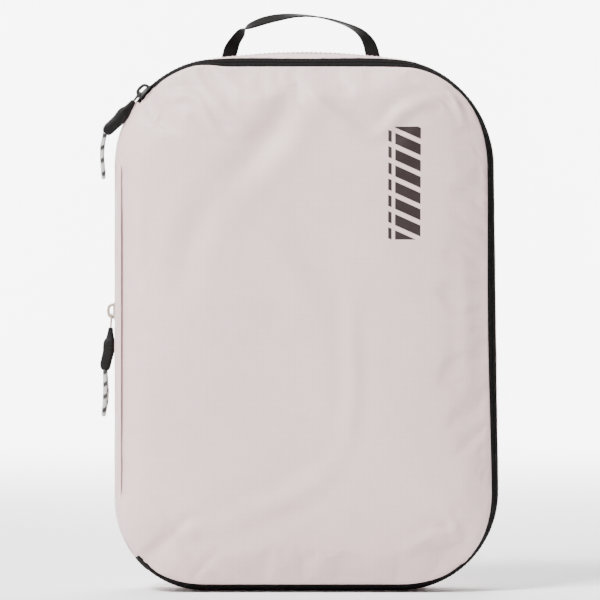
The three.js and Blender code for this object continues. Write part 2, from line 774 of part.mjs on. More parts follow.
const mainLean = Math.atan2(CORNER_EDGE - CORNER_BAND, ZIP_REAR_Y - ZIP_FRONT_Y);
const sliderAngle = radians(SLIDER_ANGLE);
const mainRadius = TOP_LEFT.r - (CORNER_EDGE + CORNER_BAND) / 2;
const mainPlace = new THREE.Vector3(
  TOP_LEFT.x + mainRadius * Math.cos(sliderAngle),
  ZIP_Y,
  TOP_LEFT.z + mainRadius * Math.sin(sliderAngle),
);
const mainAlong = new THREE.Vector3(-Math.sin(sliderAngle), 0, Math.cos(sliderAngle));
const mainOut = new THREE.Vector3(
  Math.cos(sliderAngle) * Math.cos(mainLean),
  -Math.sin(mainLean),
  Math.sin(sliderAngle) * Math.cos(mainLean),
);
const down = new THREE.Vector3(0, 0, -1);
const outLeft = new THREE.Vector3(-1, 0, 0);
const compressionPlace = new THREE.Vector3(leftWallX, COMPRESSION_Y, COMPRESSION_SLIDER_Z);
const mainFrame = frameOf(mainAlong, mainOut, mainPlace);
const compressionFrame = frameOf(down, outLeft, compressionPlace);
const compressionHang = [COMPRESSION_LINK, COMPRESSION_HANG, COMPRESSION_CORD];
cube.add(
  ...sliderAndPull("main", mainFrame, blackMetal, MAIN_LINK, MAIN_HANG, MAIN_CORD),
  ...sliderAndPull("compression", compressionFrame, lightMetal, ...compressionHang),
);

export default cube;
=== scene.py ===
"""Compression packing cube: cloth, zips, pulls and handle, built on the CAD frame.

Every length in the tables below is in millimetres and is turned into metres when a mesh is made.
The cube stands on its bottom, +Z is up, and its lid faces -Y.
"""

import json
import math
from typing import NamedTuple

import bmesh
import bpy
import numpy as np
from bpy.props import FloatProperty, FloatVectorProperty, IntProperty, PointerProperty
from mathutils import Matrix, Vector

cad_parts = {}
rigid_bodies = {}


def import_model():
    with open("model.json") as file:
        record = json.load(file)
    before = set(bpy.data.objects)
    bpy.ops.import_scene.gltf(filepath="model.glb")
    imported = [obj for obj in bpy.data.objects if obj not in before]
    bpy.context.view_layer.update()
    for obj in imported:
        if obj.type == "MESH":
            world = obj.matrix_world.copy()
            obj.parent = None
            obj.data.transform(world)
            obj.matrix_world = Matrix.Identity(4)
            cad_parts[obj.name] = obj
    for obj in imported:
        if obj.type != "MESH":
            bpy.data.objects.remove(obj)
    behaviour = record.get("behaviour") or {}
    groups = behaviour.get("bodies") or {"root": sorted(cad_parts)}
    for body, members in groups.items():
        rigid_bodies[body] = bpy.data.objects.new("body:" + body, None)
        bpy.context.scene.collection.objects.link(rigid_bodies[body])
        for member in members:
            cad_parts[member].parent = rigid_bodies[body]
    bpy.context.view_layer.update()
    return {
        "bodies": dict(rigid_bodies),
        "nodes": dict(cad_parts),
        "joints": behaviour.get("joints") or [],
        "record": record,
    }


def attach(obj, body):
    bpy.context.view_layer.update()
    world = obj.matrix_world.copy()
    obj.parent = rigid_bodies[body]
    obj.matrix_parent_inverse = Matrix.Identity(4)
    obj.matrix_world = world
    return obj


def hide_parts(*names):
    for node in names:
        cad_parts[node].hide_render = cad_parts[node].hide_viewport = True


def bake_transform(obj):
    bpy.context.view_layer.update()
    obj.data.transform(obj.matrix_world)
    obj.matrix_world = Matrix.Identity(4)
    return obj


bl_info = {
    "name": "Compression Packing Cube",
    "version": (1, 0, 0),
    "blender": (4, 5, 0),
    "location": "View3D > Sidebar > Packing Cube",
    "description": "Cloth, zips, pulls and handle of a packing cube, on its CAD frame",
    "category": "Add Mesh",
}

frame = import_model()

MM = 0.001
TAU = 2 * math.pi

# ------------------------------------------------------------------------------------ sizes


class Corner(NamedTuple):
    """A round corner of the outline, seen from the front."""

    x: float
    z: float
    r: float


class Side(NamedTuple):
    """A side between two corners: the radius of its bow, and how far the zip band's front edge
    lies inside the outline at its middle."""

    radius: float
    edge: float


TOP_LEFT = Corner(-57, 290, 74)
TOP_RIGHT = Corner(53, 289, 75)
BOTTOM_RIGHT = Corner(63, 68, 68)
BOTTOM_LEFT = Corner(-69, 62, 62)
NEARLY_STRAIGHT = 1e6
TOP = Side(420, 5.2)
RIGHT = Side(NEARLY_STRAIGHT, 6.2)
BOTTOM = Side(NEARLY_STRAIGHT, 5.2)
LEFT = Side(NEARLY_STRAIGHT, 5.2)

# Inset of the zip band's front edge on the corners, and where they meet the sides.
CORNER_EDGE = 3.4
SIDE_EDGE = 5.2
# Along the top the front edge runs level at this height, from the second x on; LEVEL_BLEND
# rounds the change from one to the other.
LEVEL_Z = 357.3
LEVEL_BLEND = 1.5
LEVEL_FROM = (-86, -52)
# Inset of the band's rear edge at the middle of the top, its place and how far it reaches.
TOP_BAND = 4.7
TOP_BAND_X = -2
TOP_BAND_REACH = 80

# Depths of the side wall, from front to back.
PANEL_Y = -28.4
ZIP_FRONT_Y = -26
ZIP_Y = -20
ZIP_REAR_Y = -14
GUSSET_Y = (-13.6, -3.3)
COMPRESSION_Y = 3
REAR_GUSSET_Y = (9.3, 27.2)
REAR_ROUND_Y = 18
REAR_Y = 28
REAR_INSET = 3.4

# Where the main zip starts and ends on its corners, in degrees.
ZIP_START = 143.4
LID_START = 130.6
ZIP_END = 219.7
SLIDER_ANGLE = 136.8
COMPRESSION_SLIDER_Z = 191
COMPRESSION_STOP_Z = 183.6
LEFT_X = -131.0

TAPE_REACH = 6
SLIT = 0.35
COIL_TOP = -0.85
COIL_HEIGHT = 1.3
CORD_DIAMETER = 3

# Handle: middle line (x, z) and how far the webbing has turned from facing the front.
HANDLE_ROUTE = (
    (-54.3, 364.4, 0),
    (-52.6, 371.5, 10),
    (-49.6, 377.9, 42),
    (-45, 384.2, 60),
    (-41.2, 387.4, 106),
    (-37, 389.5, 120),
    (-28.5, 392.5, 126),
    (-18, 394.7, 120),
    (-7, 395.8, 106),
    (5, 395.3, 96),
    (17, 393, 89),
    (28.5, 389.2, 82),
    (37.6, 384, 63),
    (43.4, 376.4, 34),
    (46.3, 366.4, 2),
)
HANDLE_Y = 27.2
# The ends inside the seam: how far below the route's end, and y.
HANDLE_TAIL = ((14, 24.3), (8, 25.0), (3.4, 26.8))

# Pull grip: place along its length, lean of its middle, and its two half widths.
GRIP_ROWS = (
    (0, 0, 1.6, 2.1),
    (0.12, 0.05, 2.1, 2.5),
    (0.22, 0.1, 2.6, 2.9),
    (0.265, -0.05, 3.0, 3.4),
    (0.31, -0.4, 3.7, 4.2),
    (0.4, -0.5, 4.0, 4.6),
    (0.56, -0.3, 4.0, 4.6),
    (0.7, -1.0, 3.9, 4.5),
    (0.82, -1.7, 3.9, 4.4),
    (0.91, -1.85, 3.7, 4.2),
    (0.96, -1.8, 3.0, 3.9),
    (1, -1.7, 2.5, 3.5),
)
GRIP_LENGTH = 29.5

# Half of a pull's cord loop, from the grip to its far end, as (y, z).
CORD_HALF = (
    (-1.8, 0),
    (-1.9, -2.6),
    (-2.3, -6),
    (-3.4, -10.5),
    (-4.7, -15),
    (-5.6, -19.5),
    (-5.3, -24),
    (-3.3, -27.6),
)
CORD_TIP = (0, -29.2)
# Sideways sway (x) of each cord at the points of its whole loop.
MAIN_SWAY = (
    0, -0.7, -1.4, -1.9, -1.9, -1.5, -0.9, -0.3, 0.1, 0.5, 0.4, 0, -0.5, -0.6, -0.4, 0.1, 0.5,
)
COMPRESSION_SWAY = (
    0, 0, 0.1, 0.2, 0.2, 0, -0.3, -0.8, -1, -0.8, -0.1, 0.5, 0.9, 0.8, 0.5, 0.3, 0.2,
)


def colour_setting(name, description, default):
    """A colour property of the add-on."""
    return FloatVectorProperty(
        name=name, description=description, subtype="COLOR", size=3, default=default
    )


def length_setting(name, description, default, low, high):
    """A length property of the add-on, in millimetres."""
    return FloatProperty(
        name=name, description=description, default=default, min=low, max=high
    )


class CubeSettings(bpy.types.PropertyGroup):
    """Sizes and colours of the packing cube."""

    cloth_colour: colour_setting("Cloth", "Colour of the body cloth", (0.69, 0.51, 0.5))
    light_tape_colour: colour_setting(
        "Light tape", "Colour of the compression zip's tape and coil", (0.62, 0.54, 0.5)
    )
    dark_colour: colour_setting(
        "Dark trim",
        "Colour of the main zip, the handle and the grips",
        (0.0085, 0.0075, 0.0075),
    )
    print_colour: colour_setting(
        "Print", "Colour of the striped print on the lid", (0.018, 0.0095, 0.0095)
    )
    ripstop_pitch: length_setting(
        "Ripstop pitch", "Between two thick yarns of the body cloth, in millimetres", 4.2, 1, 12
    )
    slack: FloatProperty(
        name="Slack",
        description="How much larger the panels are cut than the space they fill",
        subtype="FACTOR",
        default=0.012,
        min=0,
        max=0.05,
    )
    coil_pitch: length_setting(
        "Coil pitch", "Between two teeth of a zip coil, in millimetres", 1.8, 1, 4
    )
    stitch_length: length_setting(
        "Stitch length", "One stitch with its gap, in millimetres", 3.2, 1.5, 8
    )
    panel_columns: IntProperty(
        name="Panel columns",
        description="Cells across the front panel before it is smoothed",
        default=104,
        min=20,
        max=200,
    )


# ------------------------------------------------------------------------------------ outline


def smooth_step(value, low, high):
    """0 below low, 1 above high, and a smooth rise between them."""
    t = np.clip((np.asarray(value, float) - low) / (high - low), 0, 1)
    return t * t * (3 - 2 * t)


def side_circle(a, b, radius):
    """The circle of a side that touches two corners from inside: x, z, radius, two angles."""
    dx, dz = b.x - a.x, b.z - a.z
    apart = math.hypot(dx, dz)
    reach, other = radius - a.r, radius - b.r
    along = (apart**2 + reach**2 - other**2) / (2 * apart)
    drop = math.sqrt(reach**2 - along**2)
    x = a.x + (dx * along + dz * drop) / apart
    z = a.z + (dz * along - dx * drop) / apart
    return x, z, radius, math.atan2(a.z - z, a.x - x), math.atan2(b.z - z, b.x - x)


class Stations(NamedTuple):
    """Places along the outline: distance, place, outward normal and the two band insets."""

    s: np.ndarray
    x: np.ndarray
    z: np.ndarray
    nx: np.ndarray
    nz: np.ndarray
    edge: np.ndarray
    band: np.ndarray

    def points(self, insets, depths):
        """Points inside the outline by insets, at depths, in metres."""
        x = self.x[:, None] - self.nx[:, None] * insets
        z = self.z[:, None] - self.nz[:, None] * insets
        return np.stack([x, np.broadcast_to(depths, x.shape), z], axis=-1) * MM

    def wall(self, depth):
        """How far the wall lies inside the outline at a depth."""
        if depth <= ZIP_FRONT_Y:
            return self.edge + (ZIP_FRONT_Y - depth) * 0.5
        if depth <= ZIP_REAR_Y:
            share = (depth - ZIP_FRONT_Y) / (ZIP_REAR_Y - ZIP_FRONT_Y)
            return self.edge + (self.band - self.edge) * share
        if depth <= 0:
            return self.band * (depth / ZIP_REAR_Y) ** 1.5
        share = max(0, depth - REAR_ROUND_Y) / (REAR_Y - REAR_ROUND_Y)
        return np.full_like(self.s, REAR_INSET * share**2)


class Outline:
    """The widest outline, clockwise from the start of the main zip, measured by its length."""

    def __init__(self):
        top = side_circle(TOP_LEFT, TOP_RIGHT, TOP.radius)
        right = side_circle(TOP_RIGHT, BOTTOM_RIGHT, RIGHT.radius)
        bottom = side_circle(BOTTOM_RIGHT, BOTTOM_LEFT, BOTTOM.radius)
        left = side_circle(BOTTOM_LEFT, TOP_LEFT, LEFT.radius)
        start = math.radians(ZIP_START)
        self.rows = []
        self.marks = {"start": 0.0}
        self.length = 0.0
        self._arc(TOP_LEFT, start, top[3])
        self._arc(Corner(*top[:3]), top[3], top[4], TOP)
        self._arc(TOP_RIGHT, top[4], right[3])
        self._arc(Corner(*right[:3]), right[3], right[4], RIGHT)
        self._arc(BOTTOM_RIGHT, right[4], bottom[3])
        self._arc(Corner(*bottom[:3]), bottom[3], bottom[4], BOTTOM)
        self._arc(BOTTOM_LEFT, bottom[4], math.radians(ZIP_END))
        self.marks["end"] = self.length
        self._arc(BOTTOM_LEFT, math.radians(ZIP_END), left[3])
        self._arc(Corner(*left[:3]), left[3], left[4], LEFT)
        self._arc(TOP_LEFT, left[4], start)
        self.table = np.array(self.rows)

    def _arc(self, circle, start, end, side=None):
        sweep = (start - end) % TAU
        size = circle.r * sweep
        count = max(2, round(size))
        for i in range(count):
            t = i / count
            angle = start - sweep * t
            c, s = math.cos(angle), math.sin(angle)
            x, z = circle.x + circle.r * c, circle.z + circle.r * s
            if side:
                edge = SIDE_EDGE + (side.edge - SIDE_EDGE) * math.sin(math.pi * t) ** 2
            else:
                edge = CORNER_EDGE + (SIDE_EDGE - CORNER_EDGE) * math.cos(2 * angle) ** 2
            band = 0
            if s > 0.5:
                level = (z - LEVEL_Z) / s
                wide = (edge + level + math.hypot(edge - level, LEVEL_BLEND)) / 2
                edge = CORNER_EDGE + (wide - CORNER_EDGE) * float(smooth_step(x, *LEVEL_FROM))
                share = min(1, abs(x - TOP_BAND_X) / TOP_BAND_REACH)
                band = TOP_BAND * math.cos(math.pi / 2 * share) ** 2
            self.rows.append((self.length + size * t, x, z, c, s, edge, band))
        self.length += size

    def at(self, distances):
        """Stations at some distances; a distance past the loop's end starts again."""
        distances = np.asarray(distances, float)
        t = self.table
        columns = [np.interp(distances, t[:, 0], t[:, i], period=self.length) for i in range(1, 7)]
        x, z, nx, nz, edge, band = columns
        size = np.hypot(nx, nz)
        return Stations(distances, x, z, nx / size, nz / size, edge, band)

    def between(self, start, end, step=1.6):
        """Evenly spaced stations from start to end, both included."""
        return self.at(np.linspace(start, end, max(3, round((end - start) / step))))

    def ring(self, step=1.6):
        """Evenly spaced stations of the whole loop."""
        count = round(self.length / step)
        return self.at(np.arange(count) * self.length / count)

    def nearest(self, x, z):
        """The station nearest to each of many places."""
        t = self.table
        best = np.empty(len(x), int)
        for first in range(0, len(x), 2000):
            part = slice(first, first + 2000)
            away = (x[part, None] - t[:, 1]) ** 2 + (z[part, None] - t[:, 2]) ** 2
            best[part] = away.argmin(axis=1)
        return self.at(t[best, 0])

    def distance_at(self, x, z):
        """Distance along the outline at the station nearest to one place."""
        return float(self.nearest(np.array([x]), np.array([z])).s[0])


OUTLINE = Outline()
ZIP_STARTS = OUTLINE.marks["start"]
LID_STARTS = TOP_LEFT.r * math.radians(ZIP_START - LID_START)
ZIP_ENDS = OUTLINE.marks["end"]


def ripple(along, seed, waves=(23, 14.5, 9.2, 6.1)):
    """A smooth uneven wave, from about -1 to 1, that repeats for the same seed."""
    random = np.random.default_rng(seed)
    total = np.zeros_like(along, dtype=float)
    for wave in waves:
        turns = max(1, round(OUTLINE.length / (wave * random.uniform(0.85, 1.15))))
        phase = random.uniform(0, TAU)
        total += random.uniform(0.5, 1) * np.sin(TAU * turns * along / OUTLINE.length + phase)
    return total / len(waves)


# ------------------------------------------------------------------------------------ meshes


def new_object(name, vertices, faces, material):
    """A mesh object with one material."""
    mesh = bpy.data.meshes.new(name)
    mesh.from_pydata(np.asarray(vertices, float).reshape(-1, 3).tolist(), [], faces)
    return shown(mesh, material)


def shown(mesh, material):
    """An object in the scene for a mesh, with one material and smooth faces."""
    mesh.materials.append(material)
    mesh.shade_smooth()
    mesh.update()
    made = bpy.data.objects.new(mesh.name, mesh)
    bpy.context.scene.collection.objects.link(made)
    return made


def store_weave(obj, domain, values):
    """Stores a place on the cloth, in millimetres, at each vertex or face corner."""
    layer = obj.data.attributes.new("weave", "FLOAT_VECTOR", domain)
    layer.data.foreach_set("vector", np.asarray(values, np.float32).ravel())


def lofted(name, sections, material, along, ring=False):
    """Joins equal sections, an array (rows, points, 3), into one mesh.

    along is the distance at each row; a ring joins its last row to its first.
    """
    rows, size = sections.shape[:2]
    gaps = np.linalg.norm(np.diff(sections, axis=1, append=sections[:, :1]), axis=2).mean(axis=0)
    across = np.concatenate([[0], np.cumsum(gaps)]) / MM
    along = np.asarray(along, float)
    if ring:
        along = np.append(along, along[-1] + along[1] - along[0])
    faces, places = [], []
    for i in range(rows if ring else rows - 1):
        below, above = i * size, (i + 1) % rows * size
        for j in range(size):
            k = (j + 1) % size
            faces.append((below + j, above + j, above + k, below + k))
            low, high, near, far = along[i], along[i + 1], across[j], across[j + 1]
            places += [(low, near, 0), (high, near, 0), (high, far, 0), (low, far, 0)]
    if not ring:
        last = (rows - 1) * size
        faces.append(tuple(range(size)))
        faces.append(tuple(last + size - 1 - j for j in range(size)))
        places += [(along[0], across[j], 0) for j in range(size)]
        places += [(along[-1], across[size - 1 - j], 0) for j in range(size)]
    made = new_object(name, sections, faces, material)
    store_weave(made, "CORNER", places)
    return outward(made)


def outward(obj):
    """Turns the faces of a closed mesh outwards."""
    work = bmesh.new()
    work.from_mesh(obj.data)
    bmesh.ops.recalc_face_normals(work, faces=work.faces)
    work.to_mesh(obj.data)
    work.free()
    return obj


def merged(name, parts):
    """Joins some mesh objects into the first, under one name."""
    first = parts[0]
    with bpy.context.temp_override(
        active_object=first, object=first, selected_editable_objects=parts
    ):
        bpy.ops.object.join()
    first.name = name
    first.data.name = name
    return first


def with_modifiers(obj):
    """Replaces an object's mesh with the one its modifiers make."""
    graph = bpy.context.evaluated_depsgraph_get()
    mesh = bpy.data.meshes.new_from_object(obj.evaluated_get(graph), depsgraph=graph)
    obj.modifiers.clear()
    obj.data = mesh
    return obj


def curve_through(points, count, closed=False):
    """Evenly numbered points of a smooth curve through some points."""
    points = np.asarray(points, float)
    if closed:
        padded = np.vstack([points[-1:], points, points[:2]])
        spans = len(points)
    else:
        ends = 2 * points[0] - points[1], 2 * points[-1] - points[-2]
        padded = np.vstack([ends[0], points, ends[1]])
        spans = len(points) - 1
    t = np.linspace(0, spans, count, endpoint=not closed)
    i = np.minimum(t.astype(int), spans - 1)
    f = (t - i)[:, None]
    a, b, c, d = (padded[i + k] for k in range(4))
    bend = 2 * a - 5 * b + 4 * c - d
    return 0.5 * (2 * b + (c - a) * f + bend * f**2 + (3 * b - a - 3 * c + d) * f**3)


def tube_sections(path, radius, sides, closed=False):
    """Round sections along a path, turned as little as possible from one to the next."""
    path = np.asarray(path, float)
    if closed:
        tangents = np.roll(path, -1, axis=0) - np.roll(path, 1, axis=0)
    else:
        tangents = np.gradient(path, axis=0)
    tangents /= np.linalg.norm(tangents, axis=1)[:, None]
    normal = np.cross(tangents[0], (0.31, 0.83, 0.47))
    normal /= np.linalg.norm(normal)
    normals = []
    for tangent in tangents:
        normal = normal - tangent * normal.dot(tangent)
        normal /= np.linalg.norm(normal)
        normals.append(normal)
    normals = np.array(normals)
    if closed:
        slip = normals[-1] - tangents[0] * normals[-1].dot(tangents[0])
        side = np.cross(tangents[0], normals[0])
        twist = -math.atan2(slip.dot(side), slip.dot(normals[0]))
        turn = np.linspace(0, twist, len(path))[:, None]
        normals = normals * np.cos(turn) + np.cross(tangents, normals) * np.sin(turn)
    others = np.cross(tangents, normals)
    angle = round_angles(sides)
    radius = np.broadcast_to(radius, (len(path),))[:, None, None]
    circle = normals[:, None] * np.cos(angle)[:, None] + others[:, None] * np.sin(angle)[:, None]
    return path[:, None] + circle * radius


def squared(values, power):
    """Sines or cosines pushed outwards, which turns a circle into a rounded rectangle."""
    return np.sign(values) * np.abs(values) ** power


def round_angles(sides):
    """Evenly spaced angles of one whole turn."""
    return np.arange(sides) * TAU / sides


def distances(path):
    """Distance along a path at each of its points."""
    steps = np.linalg.norm(np.diff(path, axis=0), axis=1)
    return np.concatenate([[0], np.cumsum(steps)])


def placed(obj, matrix):
    """Moves an object's mesh by a matrix whose lengths are millimetres."""
    obj.data.transform(matrix)
    obj.data.transform(Matrix.Scale(MM, 4))
    obj.data.update()
    return obj


def fitted(obj, body, slot, *nodes):
    """Lets a piece ride on a body and hides the CAD nodes it stands for; slot is not used."""
    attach(obj, body)
    if nodes:
        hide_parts(*nodes)
    return obj


# ------------------------------------------------------------------------------------ finishes


class Socket:
    """A shader socket whose arithmetic adds Math nodes."""

    def __init__(self, finish, link):
        self.finish = finish
        self.link = link

    def _maths(self, operation, *values):
        node = self.finish.node("ShaderNodeMath", {"operation": operation}, dict(enumerate(values)))
        return Socket(self.finish, node.outputs[0])

    def __add__(self, other):
        return self._maths("ADD", self, other)

    def __sub__(self, other):
        return self._maths("SUBTRACT", self, other)

    def __rsub__(self, other):
        return self._maths("SUBTRACT", other, self)

    def __mul__(self, other):
        return self._maths("MULTIPLY", self, other)

    def __truediv__(self, other):
        return self._maths("DIVIDE", self, other)

    __radd__ = __add__

    def sine(self):
        return self._maths("SINE", self)

    def size(self):
        return self._maths("ABSOLUTE", self)

    def floor(self):
        return self._maths("FLOOR", self)

    def wrapped(self, span):
        return self._maths("FLOORED_MODULO", self, span)

    def larger(self, other):
        return self._maths("MAXIMUM", self, other)

    def rise(self, low, high):
        """0 below low, 1 above high, smooth between."""
        settings = {"interpolation_type": "SMOOTHSTEP"}
        node = self.finish.node("ShaderNodeMapRange", settings, {0: self, 1: low, 2: high})
        return Socket(self.finish, node.outputs[0])


class Finish:
    """A material with one Principled shader, built from socket expressions."""

    def __init__(self, name, colour, roughness, metallic=0.0, **constants):
        self.material = bpy.data.materials.new(name)
        self.material.use_nodes = True
        self.tree = self.material.node_tree
        self.shader = self.tree.nodes["Principled BSDF"]
        self.colour = (*colour, 1)
        self.set(**{"Base Color": self.colour, "Roughness": roughness, "Metallic": metallic})
        self.set(**constants)

    def node(self, kind, settings=None, sockets=None):
        """Adds a node: its settings are set first, then the values or links of its sockets."""
        node = self.tree.nodes.new(kind)
        for name, value in (settings or {}).items():
            setattr(node, name, value)
        for name, value in (sockets or {}).items():
            self._fill(node.inputs[name], value)
        return node

    def _fill(self, target, value):
        if isinstance(value, Socket):
            self.tree.links.new(value.link, target)
        elif isinstance(value, bpy.types.NodeSocket):
            self.tree.links.new(value, target)
        else:
            target.default_value = value

    def set(self, **sockets):
        for name, value in sockets.items():
            self._fill(self.shader.inputs[name], value)

    def place(self):
        """Distances along and across the cloth, in millimetres, and their vector."""
        source = self.node("ShaderNodeAttribute", {"attribute_name": "weave"})
        split = self.node("ShaderNodeSeparateXYZ", sockets={0: source.outputs["Vector"]})
        return Socket(self, split.outputs[0]), Socket(self, split.outputs[1]), source.outputs[1]

    def object_place(self):
        """Place in the object's own space, in metres."""
        return self.node("ShaderNodeTexCoord").outputs["Object"]

    def noise(self, vector, scale, detail=2.0, roughness=0.5):
        """Noise from 0 to 1."""
        sockets = {"Vector": vector, "Scale": scale, "Detail": detail, "Roughness": roughness}
        return Socket(self, self.node("ShaderNodeTexNoise", sockets=sockets).outputs[0])

    def mix(self, factor, first, second):
        """A colour between two, by a factor."""
        settings = {"data_type": "RGBA"}
        node = self.node("ShaderNodeMix", settings, {0: factor, 6: first, 7: second})
        return node.outputs[2]

    def shade(self, share):
        """The finish's own colour, darker or lighter."""
        return tuple(min(1, c * share) for c in self.colour[:3]) + (1,)

    def bump(self, height, depth):
        """Raises the surface by height, from 0 to 1, times depth in millimetres."""
        sockets = {"Height": height, "Distance": depth * MM, "Strength": 1.0}
        self.set(Normal=self.node("ShaderNodeBump", sockets=sockets).outputs[0])


def body_cloth(name, settings, printed=False):
    """Thin coated ripstop: fine plain weave, thicker yarns in a grid and soft crinkles."""
    cloth = Finish(name, settings.cloth_colour, 0.46, **{"Specular IOR Level": 0.4})
    along, across, vector = cloth.place()
    pitch = settings.ripstop_pitch
    yarns = (along * (TAU / 0.52)).sine() * (across * (TAU / 0.52)).sine() * 0.5 + 0.5
    columns = ((along / pitch).wrapped(1.0) - 0.5).size().rise(0.44, 0.49)
    rows = ((across / pitch).wrapped(1.0) - 0.5).size().rise(0.44, 0.49)
    grid = columns.larger(rows)
    crinkle = cloth.noise(vector, 0.075, 5.0, 0.62)
    dye = cloth.noise(vector, 0.012, 3.0)
    cloth.bump(yarns * 0.05 + grid * 0.1 + crinkle * 0.85, 0.55)
    tone = (dye * 0.7 + crinkle * 0.3 - grid * 0.12 - yarns * 0.03).rise(0.2, 0.75)
    colour = cloth.mix(tone, cloth.shade(0.93), cloth.shade(1.05))
    roughness = 0.4 + crinkle * 0.1 + yarns * 0.04
    if printed:
        mask = striped_print(along, across)
        colour = cloth.mix(mask, colour, (*settings.print_colour, 1))
        roughness = roughness - mask * 0.08
    cloth.set(**{"Base Color": colour, "Roughness": roughness})
    return cloth.material


def striped_print(along, across):
    """A tall block of slanted stripes, 22 mm wide and 76 mm high, on the right of the lid."""
    x = along - 65.6
    z = across - 277
    slant = (z + x * 0.45) / 10.9
    stripes = 1 - (slant.wrapped(1.0) - 0.5).size().rise(0.33, 0.36)
    inside = (1 - x.size().rise(10.8, 11.1)) * (1 - z.size().rise(37.8, 38.1))
    bar = 1 - (x + 7.4).size().rise(1.0, 1.25)
    return stripes * inside * (1 - bar)


def woven_tape(name, colour, roughness=0.85):
    """Zip tape: narrow herringbone ribs with a firm edge."""
    tape = Finish(name, colour, roughness, **{"Specular IOR Level": 0.03})
    along, across, vector = tape.place()
    zigzag = ((across / 1.3).wrapped(1.0) - 0.5).size() * 1.4
    ribs = ((along / 0.62 + zigzag) * TAU).sine() * 0.5 + 0.5
    ridge = (across * (TAU / 0.65)).sine() * 0.5 + 0.5
    fuzz = tape.noise(vector, 1.6, 3.0)
    tape.bump(ribs * 0.5 + ridge * 0.2 + fuzz * 0.3, 0.16)
    # Painted shade and highlight: the colour follows the ribs' relief, darker in the grooves and
    # lighter on the raised ribs; the fuzz adds random tone.
    tone = ribs * 0.45 + ridge * 0.15 + fuzz * 0.4
    colour = tape.mix(tone.rise(0.15, 0.85), tape.shade(0.72), tape.shade(1.3))
    tape.set(**{"Base Color": colour, "Roughness": roughness - ribs * 0.08})
    return tape.material


def ribbed_webbing(name, colour):
    """Handle webbing: strong cross ribs over fine lengthwise yarns."""
    webbing = Finish(name, colour, 0.6, **{"Specular IOR Level": 0.06})
    along, across, vector = webbing.place()
    ribs = (along * (TAU / 1.15)).sine().size()
    yarns = (across * (TAU / 0.9)).sine() * 0.5 + 0.5
    fuzz = webbing.noise(vector, 2.2, 3.0)
    webbing.bump(ribs * 0.65 + yarns * 0.2 + fuzz * 0.15, 0.28)
    # Painted shade and highlight: the colour follows the ribs' relief, much darker in the grooves
    # between ribs and lighter on their crests.
    tone = (ribs * 0.5 + yarns * 0.2 + fuzz * 0.3).rise(0.2, 0.9)
    colour = webbing.mix(tone, webbing.shade(0.35), webbing.shade(1.2))
    webbing.set(**{"Base Color": colour, "Roughness": 0.66 - ribs * 0.14})
    return webbing.material


def plain_weave(name, colour, pitch=0.8):
    """Seam binding and labels: an open plain weave."""
    weave = Finish(name, colour, 0.78, **{"Sheen Weight": 0.15})
    along, across, vector = weave.place()
    yarns = (along * (TAU / pitch)).sine() * (across * (TAU / pitch)).sine() * 0.5 + 0.5
    fuzz = weave.noise(vector, 1.1, 3.0)
    weave.bump(yarns * 0.6 + fuzz * 0.4, 0.12)
    tone = (yarns * 0.4 + fuzz * 0.6).rise(0.2, 0.8)
    weave.set(**{"Base Color": weave.mix(tone, weave.shade(0.86), weave.shade(1.08))})
    return weave.material


def moulded(name, colour, roughness, grain=4000.0, depth=0.05):
    """Moulded plastic or soft rubber with a fine eroded grain."""
    plastic = Finish(name, colour, roughness, **{"Specular IOR Level": 0.14})
    vector = plastic.object_place()
    fine = plastic.noise(vector, grain, 2.0)
    broad = plastic.noise(vector, 160.0, 3.0)
    plastic.bump(fine * 0.7 + broad * 0.3, depth)
    tone = (fine * 0.4 + broad * 0.6).rise(0.25, 0.75)
    colour = plastic.mix(tone, plastic.shade(0.7), plastic.shade(1.2))
    plastic.set(**{"Base Color": colour, "Roughness": roughness - 0.06 + broad * 0.14})
    return plastic.material


def painted(name, colour, roughness, metallic):
    """Painted die-cast metal, with slight waves and a little wear."""
    metal = Finish(name, colour, roughness, metallic, **{"Coat Roughness": 0.2})
    vector = metal.object_place()
    waves = metal.noise(vector, 420.0, 3.0)
    wear = metal.noise(vector, 900.0, 4.0, 0.7).rise(0.6, 0.78)
    metal.bump(waves, 0.04)
    colour = metal.mix(wear * 0.5, metal.shade(1), metal.shade(1.7))
    sockets = {"Base Color": colour, "Roughness": roughness - 0.05 + waves * 0.14}
    metal.set(**sockets, **{"Coat Weight": 0.25 - wear * 0.2})
    return metal.material


def braided_cord(name):
    """Round braid of pale yarn, with a dark band of tracer yarns every few millimetres."""
    cord = Finish(name, (0.56, 0.55, 0.52), 0.75, **{"Sheen Weight": 0.3})
    along, across, vector = cord.place()
    pitch, carriers = 1.45, 6
    turn = across * (carriers / (math.pi * CORD_DIAMETER))
    left, right = along / pitch + turn, along / pitch - turn
    bulge = (left * math.pi).sine().size() * (right * math.pi).sine().size()
    strand = (left * (TAU * 2.5)).sine() * 0.5 + 0.5
    zigzag = (turn.wrapped(3.0) - 1.5).size() * 1.5
    dark = 1 - (left.floor() + right.floor() + zigzag).wrapped(12.0).rise(4.3, 4.5)
    cord.bump(bulge * 0.8 + strand * 0.2, 0.3)
    # Painted shade: the pale yarn and the tracer yarns are both darker in the crevices between the
    # braid's strands, where the bulge is low.
    pale = cord.mix((bulge * 0.8 + strand * 0.2).rise(0.05, 0.6), (0.3, 0.29, 0.28, 1), cord.colour)
    black = cord.mix(bulge, (0.006, 0.006, 0.006, 1), (0.024, 0.022, 0.022, 1))
    fuzz = cord.noise(vector, 1.2, 2.0)
    cord.set(**{"Base Color": cord.mix(dark, pale, black), "Roughness": 0.68 + fuzz * 0.2})
    return cord.material


def thread(name, colour):
    """Twisted sewing thread."""
    yarn = Finish(name, colour, 0.7, **{"Specular IOR Level": 0.1})
    along, across, _ = yarn.place()
    plies = ((along / 0.7 + across / 0.8) * TAU).sine() * 0.5 + 0.5
    yarn.bump(plies, 0.1)
    # Painted shade and highlight: darker in the grooves between the plies, lighter on their crests.
    yarn.set(**{"Base Color": yarn.mix(plies, yarn.shade(0.75), yarn.shade(1.12))})
    return yarn.material


MATERIALS = {}


